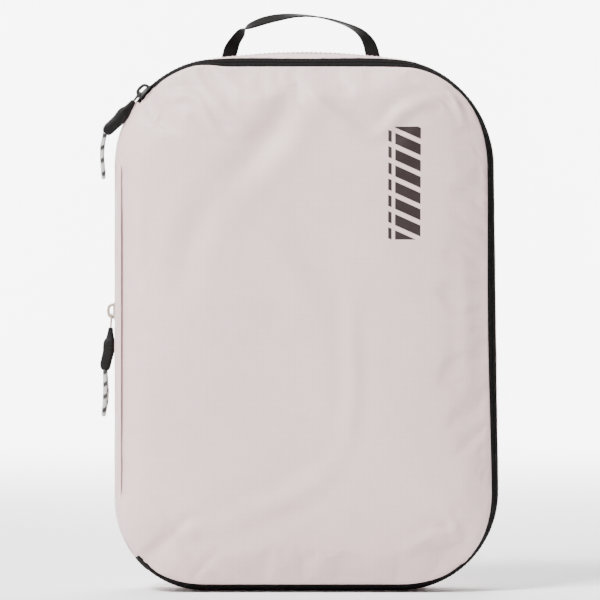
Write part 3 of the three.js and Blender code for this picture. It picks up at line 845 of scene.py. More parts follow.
def material(name):
    """A finish by name, made on its first use."""
    if name not in MATERIALS:
        settings = bpy.context.scene.packing_cube
        dark, light, cloth = settings.dark_colour, settings.light_tape_colour, settings.cloth_colour
        makers = {
            "body cloth": lambda: body_cloth(name, settings),
            "printed cloth": lambda: body_cloth(name, settings, True),
            "dark tape": lambda: woven_tape(name, dark),
            "light tape": lambda: woven_tape(name, light),
            "webbing": lambda: ribbed_webbing(name, dark),
            "binding": lambda: plain_weave(name, tuple(c * 0.86 for c in cloth)),
            "label": lambda: plain_weave(name, (0.8, 0.78, 0.75), 0.5),
            "dark coil": lambda: moulded(name, dark, 0.42, 2500.0, 0.02),
            "light coil": lambda: moulded(name, light, 0.4, 2500.0, 0.02),
            "grip rubber": lambda: moulded(name, tuple(c * 0.7 for c in dark), 0.55),
            "dark paint": lambda: painted(name, tuple(c * 0.8 for c in dark), 0.62, 0.1),
            "light paint": lambda: painted(name, (0.42, 0.345, 0.28), 0.34, 0.5),
            "braided cord": lambda: braided_cord(name),
            "dark thread": lambda: thread(name, tuple(c * 0.9 for c in dark)),
            "light thread": lambda: thread(name, tuple(min(1, c * 1.02) for c in cloth)),
        }
        MATERIALS[name] = makers[name]()
    return MATERIALS[name]


# ------------------------------------------------------------------------------------ panels


PANEL_RATIO = 1.39
CLOTH_THICKNESS = 0.7
BACK_PANEL_Y = 29.6
# How far in from the rim a panel's grid is drawn along with its fold.
RIM_REACH = 45
# Radius of the rim's turn along the zip, and of the wrap round the hinge side.
ZIP_TURN_RADIUS = 2.4
WRAP_RADIUS = 9.8

CLOTH_FRAMES = 22
CLOTH_SETTINGS = {
    "quality": 6,
    "mass": 0.12,
    "tension_stiffness": 18,
    "compression_stiffness": 18,
    "shear_stiffness": 6,
    "bending_stiffness": 0.35,
    "vertex_group_mass": "seam",
    "pin_stiffness": 1,
    "use_pressure": True,
    "air_damping": 2,
}


def hinge_share(distance):
    """1 where the cloth wraps round the hinge side, 0 along the zip, by outline distance."""
    rise = smooth_step(distance, ZIP_ENDS + 1, ZIP_ENDS + 24)
    fall = smooth_step(distance, OUTLINE.length - 12, OUTLINE.length - 2)
    return rise * (1 - fall)


def coons_grid(columns, rows):
    """A grid of places over the outline: four curved borders, filled smoothly between them."""

    def middle(corner, degrees):
        angle = math.radians(degrees)
        x, z = corner.x + corner.r * math.cos(angle), corner.z + corner.r * math.sin(angle)
        return OUTLINE.distance_at(x, z)

    low_left, top_left = middle(BOTTOM_LEFT, 225), middle(TOP_LEFT, 135)
    top_right, low_right = middle(TOP_RIGHT, 45), middle(BOTTOM_RIGHT, 315)

    def border(start, end, count):
        if end < start:
            end += OUTLINE.length
        at = OUTLINE.at(np.linspace(start, end, count + 1) % OUTLINE.length)
        return np.stack([at.x, at.z], axis=1)

    left = border(low_left, top_left, rows)
    top = border(top_left, top_right, columns)
    right = border(top_right, low_right, rows)[::-1]
    bottom = border(low_right, low_left, columns)[::-1]
    u = np.linspace(0, 1, columns + 1)[None, :, None]
    v = np.linspace(0, 1, rows + 1)[:, None, None]
    across = (1 - v) * bottom[None] + v * top[None]
    upward = (1 - u) * left[:, None] + u * right[:, None]
    corners = (1 - v) * ((1 - u) * bottom[0] + u * bottom[-1])
    corners = corners + v * ((1 - u) * top[0] + u * top[-1])
    return across + upward - corners


def grid_faces(columns, rows, flipped):
    """Quads of a grid whose vertices run along its columns."""
    wide = columns + 1
    faces = []
    for i in range(rows):
        for j in range(columns):
            a = i * wide + j
            quad = (a, a + 1, a + 1 + wide, a + wide)
            faces.append(quad[::-1] if flipped else quad)
    return faces


def folded_panel(name, columns, rows, fold, dome, face_y, sign, finish):
    """A domed cloth panel whose rim folds round the edge of the body.

    fold gives the wall's inset, the fold's radius and the straight length behind it, at stations;
    sign is -1 for a panel that faces the front and 1 for one that faces the back.
    """
    flat = coons_grid(columns, rows).reshape(-1, 2)
    at = OUTLINE.nearest(flat[:, 0], flat[:, 1])
    away = (at.x - flat[:, 0]) * at.nx + (at.z - flat[:, 1]) * at.nz
    wall, radius, straight = fold(at)
    cut = wall + radius * (1 - math.pi / 2) - straight
    inward = away + cut * np.clip(1 - away / RIM_REACH, 0, 1)
    past = np.clip(wall + radius - inward, 0, None)
    angle = np.clip(past / radius, 0, math.pi / 2)
    rest = np.clip(past - radius * math.pi / 2, 0, None)
    inset = np.where(past > 0, wall + radius * (1 - np.sin(angle)), inward)
    shift = inset - away
    height = dome(np.clip(inward - wall, 0, None))
    depth = face_y + sign * height - sign * (radius * (1 - np.cos(angle)) + rest)
    points = np.stack([flat[:, 0] - at.nx * shift, depth, flat[:, 1] - at.nz * shift], axis=1)
    made = new_object(name, points * MM, grid_faces(columns, rows, sign > 0), finish)
    pull = (inward - away)[:, None] * np.stack([at.nx, at.nz], axis=1)
    store_weave(made, "POINT", np.column_stack([flat - pull, np.zeros(len(flat))]))
    wide = columns + 1
    rim = [i * wide + j for i in range(rows + 1) for j in range(wide)
           if i in (0, rows) or j in (0, columns)]
    return made, rim


def settled(obj, rim, growth, pressure, cap):
    """Fills a panel with a cloth simulation held at its rim, and keeps the result as its mesh."""
    start = np.array([v.co for v in obj.data.vertices])
    group = obj.vertex_groups.new(name="seam")
    group.add(rim, 1.0, "REPLACE")
    cloth = obj.modifiers.new("settle", "CLOTH")
    values = cloth.settings
    for key, value in CLOTH_SETTINGS.items():
        setattr(values, key, value)
    values.uniform_pressure_force = pressure
    values.shrink_min = -growth
    values.effector_weights.gravity = 0
    cloth.collision_settings.use_collision = False
    cloth.collision_settings.use_self_collision = False
    scene = bpy.context.scene
    for number in range(1, CLOTH_FRAMES + 1):
        scene.frame_set(number)
    graph = bpy.context.evaluated_depsgraph_get()
    moved = np.array([v.co for v in obj.evaluated_get(graph).data.vertices])
    obj.modifiers.clear()
    obj.vertex_groups.clear()
    scene.frame_set(1)
    away = moved - start
    size = np.linalg.norm(away, axis=1, keepdims=True)
    held = np.where(size > cap, start + away * cap / np.maximum(size, 1e-9), moved)
    obj.data.vertices.foreach_set("co", held.ravel())
    obj.data.update()
    return obj


def creased(obj, creases, sign):
    """Raises soft folds along short lines; each is (points, width, height) in millimetres."""
    points = np.array([v.co for v in obj.data.vertices]) / MM
    for line, width, height in creases:
        path = curve_through(line, 30)
        gaps = points[:, None, (0, 2)] - path[None, :, :]
        away = np.hypot(gaps[..., 0], gaps[..., 1])
        near = away.argmin(axis=1)
        taper = np.sin(np.pi * (near + 0.5) / len(path)) ** 0.8
        far = away.min(axis=1)
        lift = np.exp(-((far / width) ** 2)) - 0.45 * np.exp(-(((far - 2 * width) / width) ** 2))
        points[:, 1] += sign * FOLD_DEPTH * height * taper * lift
    obj.data.vertices.foreach_set("co", (points * MM).ravel())
    obj.data.update()


def thickened(obj):
    """Smooths a panel and gives it a thickness, with plain cloth inside."""
    smoother = obj.modifiers.new("smooth", "SUBSURF")
    smoother.levels = smoother.render_levels = 1
    shell = obj.modifiers.new("thickness", "SOLIDIFY")
    shell.thickness = CLOTH_THICKNESS * MM
    shell.offset = -1
    shell.use_rim = True
    obj.data.materials.append(material("body cloth"))
    shell.material_offset = 1
    return with_modifiers(obj)


def front_fold(at):
    """The front panel's rim: a tight turn at the zip, a wide wrap on the hinge side.

    It gives way a little under the slider and at the end tab.
    """
    share = hinge_share(at.s)
    slider = np.exp(-((((at.s + 30) % OUTLINE.length - 38) / 9) ** 2))
    tab = np.exp(-(((at.s - ZIP_ENDS + 6) / 5) ** 2))
    wall = (at.edge + 0.9 * slider + 0.9 * tab) * (1 - share)
    radius = ZIP_TURN_RADIUS + (WRAP_RADIUS - ZIP_TURN_RADIUS) * share
    return wall, radius, 5.0 * share


def back_fold(at):
    """The back panel's rim."""
    return np.full_like(at.s, 2.9), np.full_like(at.s, 2.6), np.zeros_like(at.s)


def dome_of(height, reach, power):
    """A height that rises from the rim and levels out at reach."""
    return lambda inward: height * (1 - (1 - np.clip(inward / reach, 0, 1)) ** power)


FOLD_DEPTH = 1.9

# Soft folds of the front panel: a line of (x, z), a width and a height.
FRONT_CREASES = (
    (((-88, 322), (-50, 332), (0, 336), (50, 333), (90, 322)), 13.0, 1.3),
    (((-103, 338), (-100, 331), (-101, 324), (-105, 315)), 1.7, 0.9),
    (((-97, 334), (-86, 337), (-75, 335), (-67, 322), (-58, 312), (-42, 308)), 3.0, 1.1),
    (((-72, 346), (-62, 330), (-45, 316), (-34, 312)), 5.0, 0.8),
    (((-14, 344), (-12, 334), (-24, 312), (-40, 292), (-60, 276)), 9.0, -1.5),
    (((-2, 345), (8, 333), (26, 318), (42, 308)), 5.0, 1.2),
    (((42, 308), (54, 314), (64, 325), (80, 333), (96, 338)), 4.2, 1.1),
    (((84, 344), (92, 338), (98, 337), (103, 330)), 1.5, 0.7),
    (((91, 335), (96, 330), (97, 325)), 1.1, -0.7),
    (((93, 339), (99, 336), (104, 327), (106, 318)), 2.2, 0.8),
    (((70, 348), (84, 343), (94, 342)), 2.4, 0.5),
    (((30, 205), (31, 165), (31, 128), (24, 90)), 5.0, 0.6),
    (((24, 90), (-2, 70), (-30, 57), (-66, 45)), 6.5, 0.8),
    (((-66, 45), (-82, 42), (-94, 50)), 4.0, 0.8),
    (((-108, 66), (-98, 48), (-90, 38), (-84, 22)), 3.2, 0.9),
    (((66, 28), (84, 38), (97, 40), (107, 52)), 3.6, 0.9),
    (((92, 60), (99, 46), (104, 34)), 2.6, 0.6),
    (((106, 236), (108, 190), (109, 120)), 6.0, 0.6),
    (((-112, 268), (-116, 220), (-114, 150)), 5.0, 0.5),
    (((-60, 276), (-78, 240), (-84, 200)), 9.0, -0.9),
    (((-30, 240), (-8, 214), (6, 180)), 10.0, 0.7),
)


class PACKING_CUBE_OT_front_panel(bpy.types.Operator):
    """Front cloth: the lid with the strip that wraps round the hinge side"""

    bl_idname = "packing_cube.front_panel"
    bl_label = "Front panel"

    def execute(self, context):
        settings = context.scene.packing_cube
        columns = settings.panel_columns
        rows = round(columns * PANEL_RATIO)
        dome = dome_of(11.2, 78, 2.2)
        panel, rim = folded_panel(
            "front_panel", columns, rows, front_fold, dome, PANEL_Y, -1, material("printed cloth")
        )
        settled(panel, rim, settings.slack, 3.2, 3.4 * MM)
        creased(panel, FRONT_CREASES, -1)
        thickened(panel)
        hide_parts("lid_panel", "hinge_panel")
        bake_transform(panel)
        return {"FINISHED"}


class PACKING_CUBE_OT_back_panel(bpy.types.Operator):
    """Back cloth, gently filled"""

    bl_idname = "packing_cube.back_panel"
    bl_label = "Back panel"

    def execute(self, context):
        settings = context.scene.packing_cube
        columns = round(settings.panel_columns * 0.75)
        rows = round(columns * PANEL_RATIO)
        dome = dome_of(8.4, 112, 2.6)
        panel, rim = folded_panel(
            "back_panel_cloth", columns, rows, back_fold, dome, BACK_PANEL_Y, 1,
            material("body cloth"),
        )
        settled(panel, rim, settings.slack, 2.6, 2.6 * MM)
        thickened(panel)
        fitted(panel, "rear_shell", "light_cloth", "back_panel")
        return {"FINISHED"}


# ------------------------------------------------------------------------------------ side wall


def wall_cloth(name, at, low, high, ring, seed, puff=0.5, pucker=0.35, thick=0.8):
    """A strip of cloth on the side wall, slightly filled and puckered along its two seams."""
    depths = np.linspace(low, high, 11)
    outer, inner = [], []
    for depth in depths:
        share = (depth - low) / (high - low)
        fill = puff * math.sin(math.pi * share) ** 0.7
        seam = pucker * (
            np.exp(-(((depth - low) / 2.6) ** 2)) * ripple(at.s, seed)
            + np.exp(-(((high - depth) / 2.6) ** 2)) * ripple(at.s, seed + 1)
        )
        drift = 0.22 * ripple(at.s, seed + 2, (61, 38)) * math.sin(math.pi * share)
        edge = 0.25 * (share < 0.001 or share > 0.999)
        outer.append(at.wall(depth) - fill - seam - drift + edge)
        inner.append(at.wall(depth) - fill - seam - drift + thick)
    insets = np.stack(outer + inner[::-1], axis=1)
    sections = at.points(insets, np.concatenate([depths, depths[::-1]]))
    return lofted(name, sections, material("body cloth"), at.s, ring=ring)


def inset_strip(name, at, low, high, inset, thick=0.6):
    """A plain strip of cloth that lines the wall and the panel's wrap round the hinge side."""
    depths = np.linspace(low, high, 9)
    past = np.clip(1 - (depths - PANEL_Y) / WRAP_RADIUS, 0, 1)
    inner = inset + WRAP_RADIUS * (1 - np.sqrt(1 - past**2))
    rim = np.concatenate([inner, (inner + thick)[::-1]])
    edge = np.broadcast_to(rim, (len(at.s), len(rim)))
    sections = at.points(edge, np.concatenate([depths, depths[::-1]]))
    return lofted(name, sections, material("body cloth"), at.s)


def seam_binding(name, at, depth, root, reach, ring, seed, thick=0.8):
    """A strip that stands inwards from the wall, over the edges of a seam."""
    shares = np.linspace(0, 1, 5)
    insets = (at.wall(depth) + root)[:, None] + reach * shares
    depths = depth + 0.35 * ripple(at.s, seed)[:, None] * shares
    insets = np.concatenate([insets, insets[:, ::-1]], axis=1)
    depths = np.concatenate([depths - thick / 2, depths[:, ::-1] + thick / 2], axis=1)
    return lofted(name, at.points(insets, depths), material("binding"), at.s, ring=ring)


def band_frame(at, depth):
    """Inset of a zip's middle line and the band's lean, at stations."""
    if depth == ZIP_Y:
        return at.wall(depth), np.arctan2(at.edge - at.band, ZIP_REAR_Y - ZIP_FRONT_Y)
    return at.wall(depth), np.zeros_like(at.s)


def band_points(at, depth, across, out):
    """Points of a zip band, at offsets across it (towards the back) and out of it."""
    root, lean = band_frame(at, depth)
    across, out = np.asarray(across, float), np.asarray(out, float)
    c, s = np.cos(lean)[:, None], np.sin(lean)[:, None]
    insets = root[:, None] - (out * c + across * s)
    depths = depth + across * c - out * s
    return at.points(insets, depths)


def zip_tape(name, at, depth, side, ring, finish):
    """Half of a zip's tape, with a rolled edge at the slit."""
    section = (
        (SLIT, -0.35),
        (SLIT + 0.1, -0.02),
        (SLIT + 0.45, 0.14),
        (SLIT + 1.0, 0.1),
        (SLIT + 1.5, 0.0),
        (3.4, 0.0),
        (4.8, 0.0),
        (TAPE_REACH - 0.1, -0.04),
        (TAPE_REACH, -0.3),
        (TAPE_REACH - 0.1, -0.6),
        (3.4, -0.6),
        (SLIT + 1.2, -0.6),
        (SLIT + 0.2, -0.66),
    )
    across, out = np.array(section).T
    across = side * across
    out = out + 0.07 * ripple(at.s, 40 + side)[:, None]
    return lofted(name, band_points(at, depth, across, out), material(finish), at.s, ring=ring)


def zip_coil(name, start, end, depth, side, finish):
    """A coil of teeth behind a tape: one wire that winds along the slit."""
    pitch = bpy.context.scene.packing_cube.coil_pitch
    turns = int((end - start) / pitch)
    turn = np.arange(turns * 8 + 1) / 8
    at = OUTLINE.at(start + turn * pitch)
    angle = turn * TAU
    across = side * (SLIT + 1.15 + 0.85 * np.cos(angle))
    out = COIL_TOP - COIL_HEIGHT / 2 + 0.37 * np.sin(angle)
    path = band_points(at, depth, across[:, None], out[:, None])[:, 0]
    sections = tube_sections(path, 0.28 * MM, 5)
    return lofted(name, sections, material(finish), at.s)


def stitch_line(name, start, end, base, finish, length=None, rise=0.3, radius=0.24):
    """A row of stitches; base gives stations' insets and depths at a place along the line."""
    pitch = length or bpy.context.scene.packing_cube.stitch_length
    count = int((end - start) / pitch)
    starts = start + (np.arange(count) + 0.14) * pitch
    shares = np.array([0, 0.12, 0.5, 0.88, 1])
    thin = np.array([0.35, 0.9, 1, 0.9, 0.35]) * radius
    lift = np.array([-0.35, 0.1, 1, 0.1, -0.35]) * rise
    sides = 6
    angle = round_angles(sides)
    s = (starts[:, None] + shares * pitch * 0.72).ravel()
    at = OUTLINE.at(s)
    inset, depth = base(at)
    lift = np.tile(lift, count)[:, None]
    thin = np.tile(thin, count)[:, None]
    points = at.points(
        inset[:, None] - lift - thin * np.cos(angle), depth[:, None] + thin * np.sin(angle)
    )
    faces, places = [], []
    rings = len(shares)
    for k in range(count):
        first = k * rings * sides
        for i in range(rings - 1):
            for j in range(sides):
                a, b = first + i * sides + j, first + i * sides + (j + 1) % sides
                faces.append((a, a + sides, b + sides, b))
                low, high = shares[i] * pitch, shares[i + 1] * pitch
                places += [(low, j, 0), (high, j, 0), (high, j + 1, 0), (low, j + 1, 0)]
        faces.append(tuple(first + j for j in range(sides)))
        faces.append(tuple(first + (rings - 1) * sides + sides - 1 - j for j in range(sides)))
        places += [(0, 0, 0)] * (2 * sides)
    made = new_object(name, points, faces, material(finish))
    store_weave(made, "CORNER", places)
    return outward(made)


def on_wall(depth, out=0.2):
    """Base of a stitch line on the wall's cloth at a depth."""
    return lambda at: (at.wall(depth) - out, np.full_like(at.s, float(depth)))


def on_tape(depth, across):
    """Base of a stitch line on a zip's tape, at an offset across it."""

    def base(at):
        root, lean = band_frame(at, depth)
        return root - across * np.sin(lean) - 0.02, depth + across * np.cos(lean)

    return base


def on_tab(offset):
    """Base of a stitch line on the end tab, at an offset in depth from its middle."""
    tape = on_tape(ZIP_Y, 0)

    def base(at):
        insets, depths = tape(at)
        return insets - 0.6, depths + offset

    return base


class PACKING_CUBE_OT_side_wall(bpy.types.Operator):
    """Front and rear gusset, the folded expansion cloth, and their stitching"""

    bl_idname = "packing_cube.side_wall"
    bl_label = "Side wall"

    def execute(self, context):
        ring = OUTLINE.ring()
        front = wall_cloth("front_gusset_cloth", ring, *GUSSET_Y, True, 11, 0.3, 0.3)
        fitted(front, "front_shell", "light_cloth", "front_gusset")
        hinge = OUTLINE.between(ZIP_ENDS - 0.3, OUTLINE.length + 0.3)
        strip = inset_strip("hinge_gusset_cloth", hinge, -25.8, -13.8, 1.25)
        fitted(strip, "front_shell", "light_cloth", "hinge_gusset")
        rear = wall_cloth("rear_gusset_cloth", ring, *REAR_GUSSET_Y, True, 21, 0.8, 0.4)
        fitted(rear, "rear_shell", "light_cloth", "rear_gusset")
        self.sleeve()
        loop = OUTLINE.length
        for name, body, depth in (
            ("front_gusset_stitches", "front_shell", GUSSET_Y[1] - 1.3),
            ("rear_gusset_stitches", "rear_shell", REAR_GUSSET_Y[0] + 1.3),
            ("rear_seam_stitches", "rear_shell", REAR_GUSSET_Y[1] - 2.2),
        ):
            row = stitch_line(name, 0, loop, on_wall(depth), "light thread")
            fitted(row, body, "light_cloth")
        return {"FINISHED"}

    def sleeve(self):
        """The expansion cloth, folded away inside the front shell."""
        at = OUTLINE.ring(2.4)
        wave = 0.25 * ripple(at.s, 31)
        inner = at.band + 5.9 + wave
        places = (
            (np.full_like(at.s, 1.9), 13.0),
            (inner, 9.5),
            (inner + 0.2, 2.0),
            (inner, -8.0),
            (inner, -20.2),
            (inner + 0.8, -20.2),
            (inner + 0.8, -8.0),
            (inner + 1.0, 2.0),
            (inner + 0.8, 10.1),
            (np.full_like(at.s, 1.9), 14.2),
        )
        insets = np.stack([p[0] for p in places], axis=1)
        sections = at.points(insets, np.array([p[1] for p in places]))
        made = lofted("expansion_cloth", sections, material("body cloth"), at.s, ring=True)
        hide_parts("expansion_sleeve")
        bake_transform(made)


class PACKING_CUBE_OT_zips(bpy.types.Operator):
    """Both zips: tapes, coils, bindings, stops and the end tab"""

    bl_idname = "packing_cube.zips"
    bl_label = "Zips"

    def execute(self, context):
        self.main_zip()
        self.compression_zip()
        self.bindings()
        self.small_pieces()
        return {"FINISHED"}

    def main_zip(self):
        halves = (
            ("body", "front_shell", 1, ZIP_STARTS, 4, 4.7),
            ("lid", "lid", -1, LID_STARTS, LID_STARTS + 2, -4.4),
        )
        for half, body, side, start, *_ in halves:
            at = OUTLINE.between(start, ZIP_ENDS)
            tape = zip_tape(f"main_tape_{half}", at, ZIP_Y, side, False, "dark tape")
            fitted(tape, body, "black_tape", f"main_zip_tape_{half}")
        for half, body, side, start, *_ in halves:
            coil = zip_coil(f"main_coil_{half}", start, ZIP_ENDS, ZIP_Y, side, "dark coil")
            fitted(coil, body, "black_coil", f"main_zip_coil_{half}")
        for half, body, _, _, start, across in halves:
            row = stitch_line(
                f"main_zip_stitches_{half}", start, ZIP_ENDS - 14, on_tape(ZIP_Y, across),
                "dark thread",
            )
            fitted(row, body, "black_tape")

    def compression_zip(self):
        ring = OUTLINE.ring()
        loop, depth = OUTLINE.length, COMPRESSION_Y
        slider = OUTLINE.distance_at(LEFT_X, COMPRESSION_SLIDER_Z)
        # The rear coil stops short of the slider on both sides.
        for side, body, end, after, before in (
            (-1, "front_shell", "front", 0, 0),
            (1, "rear_shell", "rear", 7, 9),
        ):
            tape = zip_tape(f"compression_tape_{end}", ring, depth, side, True, "light tape")
            fitted(tape, body, "light_tape", f"compression_zip_tape_{end}")
            start = slider - loop + after
            coil = zip_coil(
                f"compression_coil_{end}", start, slider - before, depth, side, "light coil"
            )
            fitted(coil, body, "light_coil", f"compression_zip_coil_{end}")
            base = on_tape(depth, side * 4.6)
            row = stitch_line(f"compression_stitches_{end}", 0, loop, base, "light thread")
            fitted(row, body, "light_tape")

    def bindings(self):
        ring = OUTLINE.ring(2.4)
        lid = OUTLINE.between(LID_STARTS, ZIP_ENDS, 2.4)
        for end, body, at, depth, root, reach, closed, seed in (
            ("front", "front_shell", ring, -13.6, 1.2, 3.4, True, 5),
            ("rear", "rear_shell", ring, 25.2, 1.6, 5, True, 6),
            ("lid", "lid", lid, -25.3, 1.3, 5, False, 7),
        ):
            strip = seam_binding(f"{end}_binding", at, depth, root, reach, closed, seed)
            fitted(strip, body, "binding", f"{end}_seam_binding")

    def small_pieces(self):
        self.end_tab()
        self.stop(
            "main_zip_stop", OUTLINE.length - 3.6, OUTLINE.length - 0.8, 0.35, ZIP_Y,
            (0, 2.0), (-1.66, 0.33), "dark paint", "front_shell", "black_metal",
            "main_zip_top_stop",
        )
        middle = OUTLINE.distance_at(LEFT_X, COMPRESSION_STOP_Z)
        self.stop(
            "compression_stop", middle - 0.95, middle + 0.95, 0.12, COMPRESSION_Y,
            (2.4, 1.25), (0.68, 0.42), "light paint", "rear_shell", "light_metal",
            "compression_zip_stop",
        )

    def end_tab(self):
        """The patch that closes the main zip's end, with four short rows of stitches."""
        at = OUTLINE.between(ZIP_ENDS - 11.6, ZIP_ENDS + 0.4, 0.8)
        half = np.linspace(-5.8, 5.8, 13)
        across = np.concatenate([half, half[::-1]])
        out = np.repeat([0.6, 0.02], len(half))
        out[[0, len(half) - 1]] = 0.4
        rounded = np.ones((len(at.s), 1))
        rounded[[0, -1]] = 0.93
        sections = band_points(at, ZIP_Y, across * rounded, out * np.ones_like(rounded))
        made = lofted("main_zip_tab", sections, material("dark tape"), at.s)
        fitted(made, "front_shell", "black_tape", "main_zip_end_tab")
        rows = [
            stitch_line(
                f"tab_row_{k}", ZIP_ENDS - 10.6, ZIP_ENDS - 1.0, on_tab(offset),
                "dark thread", 1.6,
            )
            for k, offset in enumerate((-4.2, -1.4, 1.4, 4.2))
        ]
        fitted(merged("main_zip_tab_stitches", rows), "front_shell", "black_tape")

    def stop(self, name, start, end, step, depth, across, out, paint, body, slot, node):
        """A bar clamped on a zip; across and out each give its middle and half its size."""
        at = OUTLINE.between(start, end, step)
        angle = round_angles(16)
        swell = np.sin(np.linspace(0.25, math.pi - 0.25, len(at.s)))[:, None] ** 0.4
        sections = band_points(
            at, depth, across[0] + across[1] * np.cos(angle) * swell,
            out[0] + out[1] * np.sin(angle) * swell,
        )
        fitted(lofted(name, sections, material(paint), at.s), body, slot, node)


# ------------------------------------------------------------------------- sliders and pulls


def frame_of(along, out, place):
    """A matrix whose X runs along a zip to the slider's nose and whose Z points outwards."""
    across = out.cross(along).normalized()
    made = Matrix((along, across, out)).transposed().to_4x4()
    made.translation = place
    return made


def plate(name, low, high, finish):
    """A slider plate with rounded corners and bevelled edges."""
    side = ((5.7, 2.6), (5.3, 3.8), (4.1, 4.3), (0.5, 4.3), (-4.8, 3.3), (-5.7, 2.4))
    outline = [(x, -y) for x, y in reversed(side)] + list(side)
    work = bmesh.new()
    bottom = [work.verts.new((x, y, low)) for x, y in outline]
    face = work.faces.new(bottom)
    raised = bmesh.ops.extrude_face_region(work, geom=[face])["geom"]
    top = [item for item in raised if isinstance(item, bmesh.types.BMVert)]
    bmesh.ops.translate(work, verts=top, vec=(0, 0, high - low))
    bmesh.ops.bevel(
        work, geom=list(work.edges), offset=0.22, segments=3, profile=0.6, affect="EDGES",
        clamp_overlap=True,
    )
    bmesh.ops.recalc_face_normals(work, faces=work.faces)
    mesh = bpy.data.meshes.new(name)
    work.to_mesh(mesh)
    work.free()
    return shown(mesh, finish)


def rounded_box(name, size, centre, finish, bevel=0.2):
    """A box with bevelled edges."""
    work = bmesh.new()
    bmesh.ops.create_cube(work, size=1)
    bmesh.ops.scale(work, verts=work.verts, vec=size)
    bmesh.ops.bevel(
        work, geom=list(work.edges), offset=bevel, segments=3, profile=0.6, affect="EDGES"
    )
    bmesh.ops.translate(work, verts=work.verts, vec=centre)
    mesh = bpy.data.meshes.new(name)
    work.to_mesh(mesh)
    work.free()
    return shown(mesh, finish)


def bar_sections(path, half_width, half_thick, sides=16):
    """Sections of a flat bar along a path in the XZ plane; its width is along Y."""
    path = np.asarray(path, float)
    tangent = np.gradient(path, axis=0)
    tangent /= np.linalg.norm(tangent, axis=1)[:, None]
    normal = np.stack([-tangent[:, 2], np.zeros(len(path)), tangent[:, 0]], axis=1)
    angle = round_angles(sides)
    wide = squared(np.cos(angle), 0.6) * half_width
    thick = squared(np.sin(angle), 0.6) * half_thick
    sideways = np.array([0, 1, 0])
    return path[:, None] + wide[None, :, None] * sideways + thick[None, :, None] * normal[:, None]


def slider_body(name, finish):
    """Outer and inner plate, side flanges, the post between the chains and two raised rails."""
    parts = [plate(name, 0.6, 1.65, finish), plate("inner", -3.8, -2.75, finish)]
    for side in (-1, 1):
        centre = (0.2, side * 3.2, -2.0)
        parts.append(rounded_box("flange", (8.2, 0.6, 1.7), centre, finish, 0.15))
        centre = (0.1, side * 2.1, 1.72)
        parts.append(rounded_box("rail", (8.6, 0.55, 0.34), centre, finish, 0.12))
    parts.append(rounded_box("post", (3, 0.5, 3.6), (3.5, 0, -1.05), finish, 0.12))
    return merged(name, parts)


def slider_crown(name, finish):
    """The arch that the link hangs in, with its two feet."""
    path = curve_through(
        ((-4.15, 0, 0.1), (-4.05, 0, 1.5), (-2.9, 0, 3.0), (0, 0, 3.55), (2.9, 0, 3.0),
         (4.05, 0, 1.5), (4.15, 0, 0.1)),
        40,
    )
    widths = 1.15 - 0.12 * np.sin(np.linspace(0, math.pi, 40))
    sections = bar_sections(path, 1, 1.05)
    sections[..., 1] *= widths[:, None]
    sections[..., 2] += 1.7
    arch = lofted(name, sections, finish, np.arange(40.0))
    feet = [rounded_box("foot", (1.7, 2.2, 0.5), (x, 0, 1.9), finish) for x in (-4.0, 4.0)]
    return merged(name, [arch, *feet])


def pull_link(name, reach, finish):
    """A wire loop that runs through the crown and narrows into the grip."""
    w = 2.3
    route = np.array(
        (
            (0, -w, 0.05), (0, -w * 0.5, 0.6), (0, 0, 0.7), (0, w * 0.5, 0.6), (0, w, 0.05),
            (0, w, -0.35 * reach), (0, w * 0.6, -0.7 * reach), (0, 0.3 * w, -reach - 0.5),
            (0, -0.3 * w, -reach - 0.5), (0, -w * 0.6, -0.7 * reach), (0, -w, -0.35 * reach),
        )
    )
    route[:, 2] -= 0.7
    path = curve_through(route, 72, closed=True)
    sections = tube_sections(path, 0.62, 12, closed=True)
    return lofted(name, sections, finish, np.arange(72.0) * 0.3, ring=True)


def pull_grip(name, finish):
    """Moulded grip: slim neck, flat body with shallow ridges, and a turned lip at its end."""
    rows = np.array(GRIP_ROWS)
    at = np.concatenate([[0.0, 0.004, 0.012], np.linspace(0.03, 0.97, 62), [0.988, 0.996, 1.0]])
    lean = np.interp(at, rows[:, 0], rows[:, 1])
    thick = np.interp(at, rows[:, 0], rows[:, 2])
    wide = np.interp(at, rows[:, 0], rows[:, 3])
    for values in (lean, thick, wide):
        values[2:-2] = np.convolve(np.pad(values, 2, "edge"), np.ones(5) / 5, "valid")[2:-2]
    ends = np.ones_like(at)
    ends[[0, 1, 2]] = 0.72, 0.88, 0.97
    ends[[-1, -2, -3]] = 0.7, 0.86, 0.96
    sides = 40
    angle = round_angles(sides)
    x = squared(np.cos(angle), 0.62)[None] * (thick * ends)[:, None]
    y = squared(np.sin(angle), 0.62)[None] * (wide * ends)[:, None]
    zone = smooth_step(at, 0.34, 0.38) * (1 - smooth_step(at, 0.76, 0.8))
    ridges = zone * 0.16 * np.sin(at * TAU * 13)
    face = np.abs(np.sin(angle)) ** 3
    y = y * (1 + (ridges[:, None] * face) / 4.4)
    x = x * (1 + (ridges[:, None] * (1 - face)) / 5.5)
    z = np.repeat((-GRIP_LENGTH * at)[:, None], sides, axis=1)
    sections = np.stack([x + lean[:, None], y, z], axis=-1)
    return lofted(name, sections, finish, GRIP_LENGTH * at)


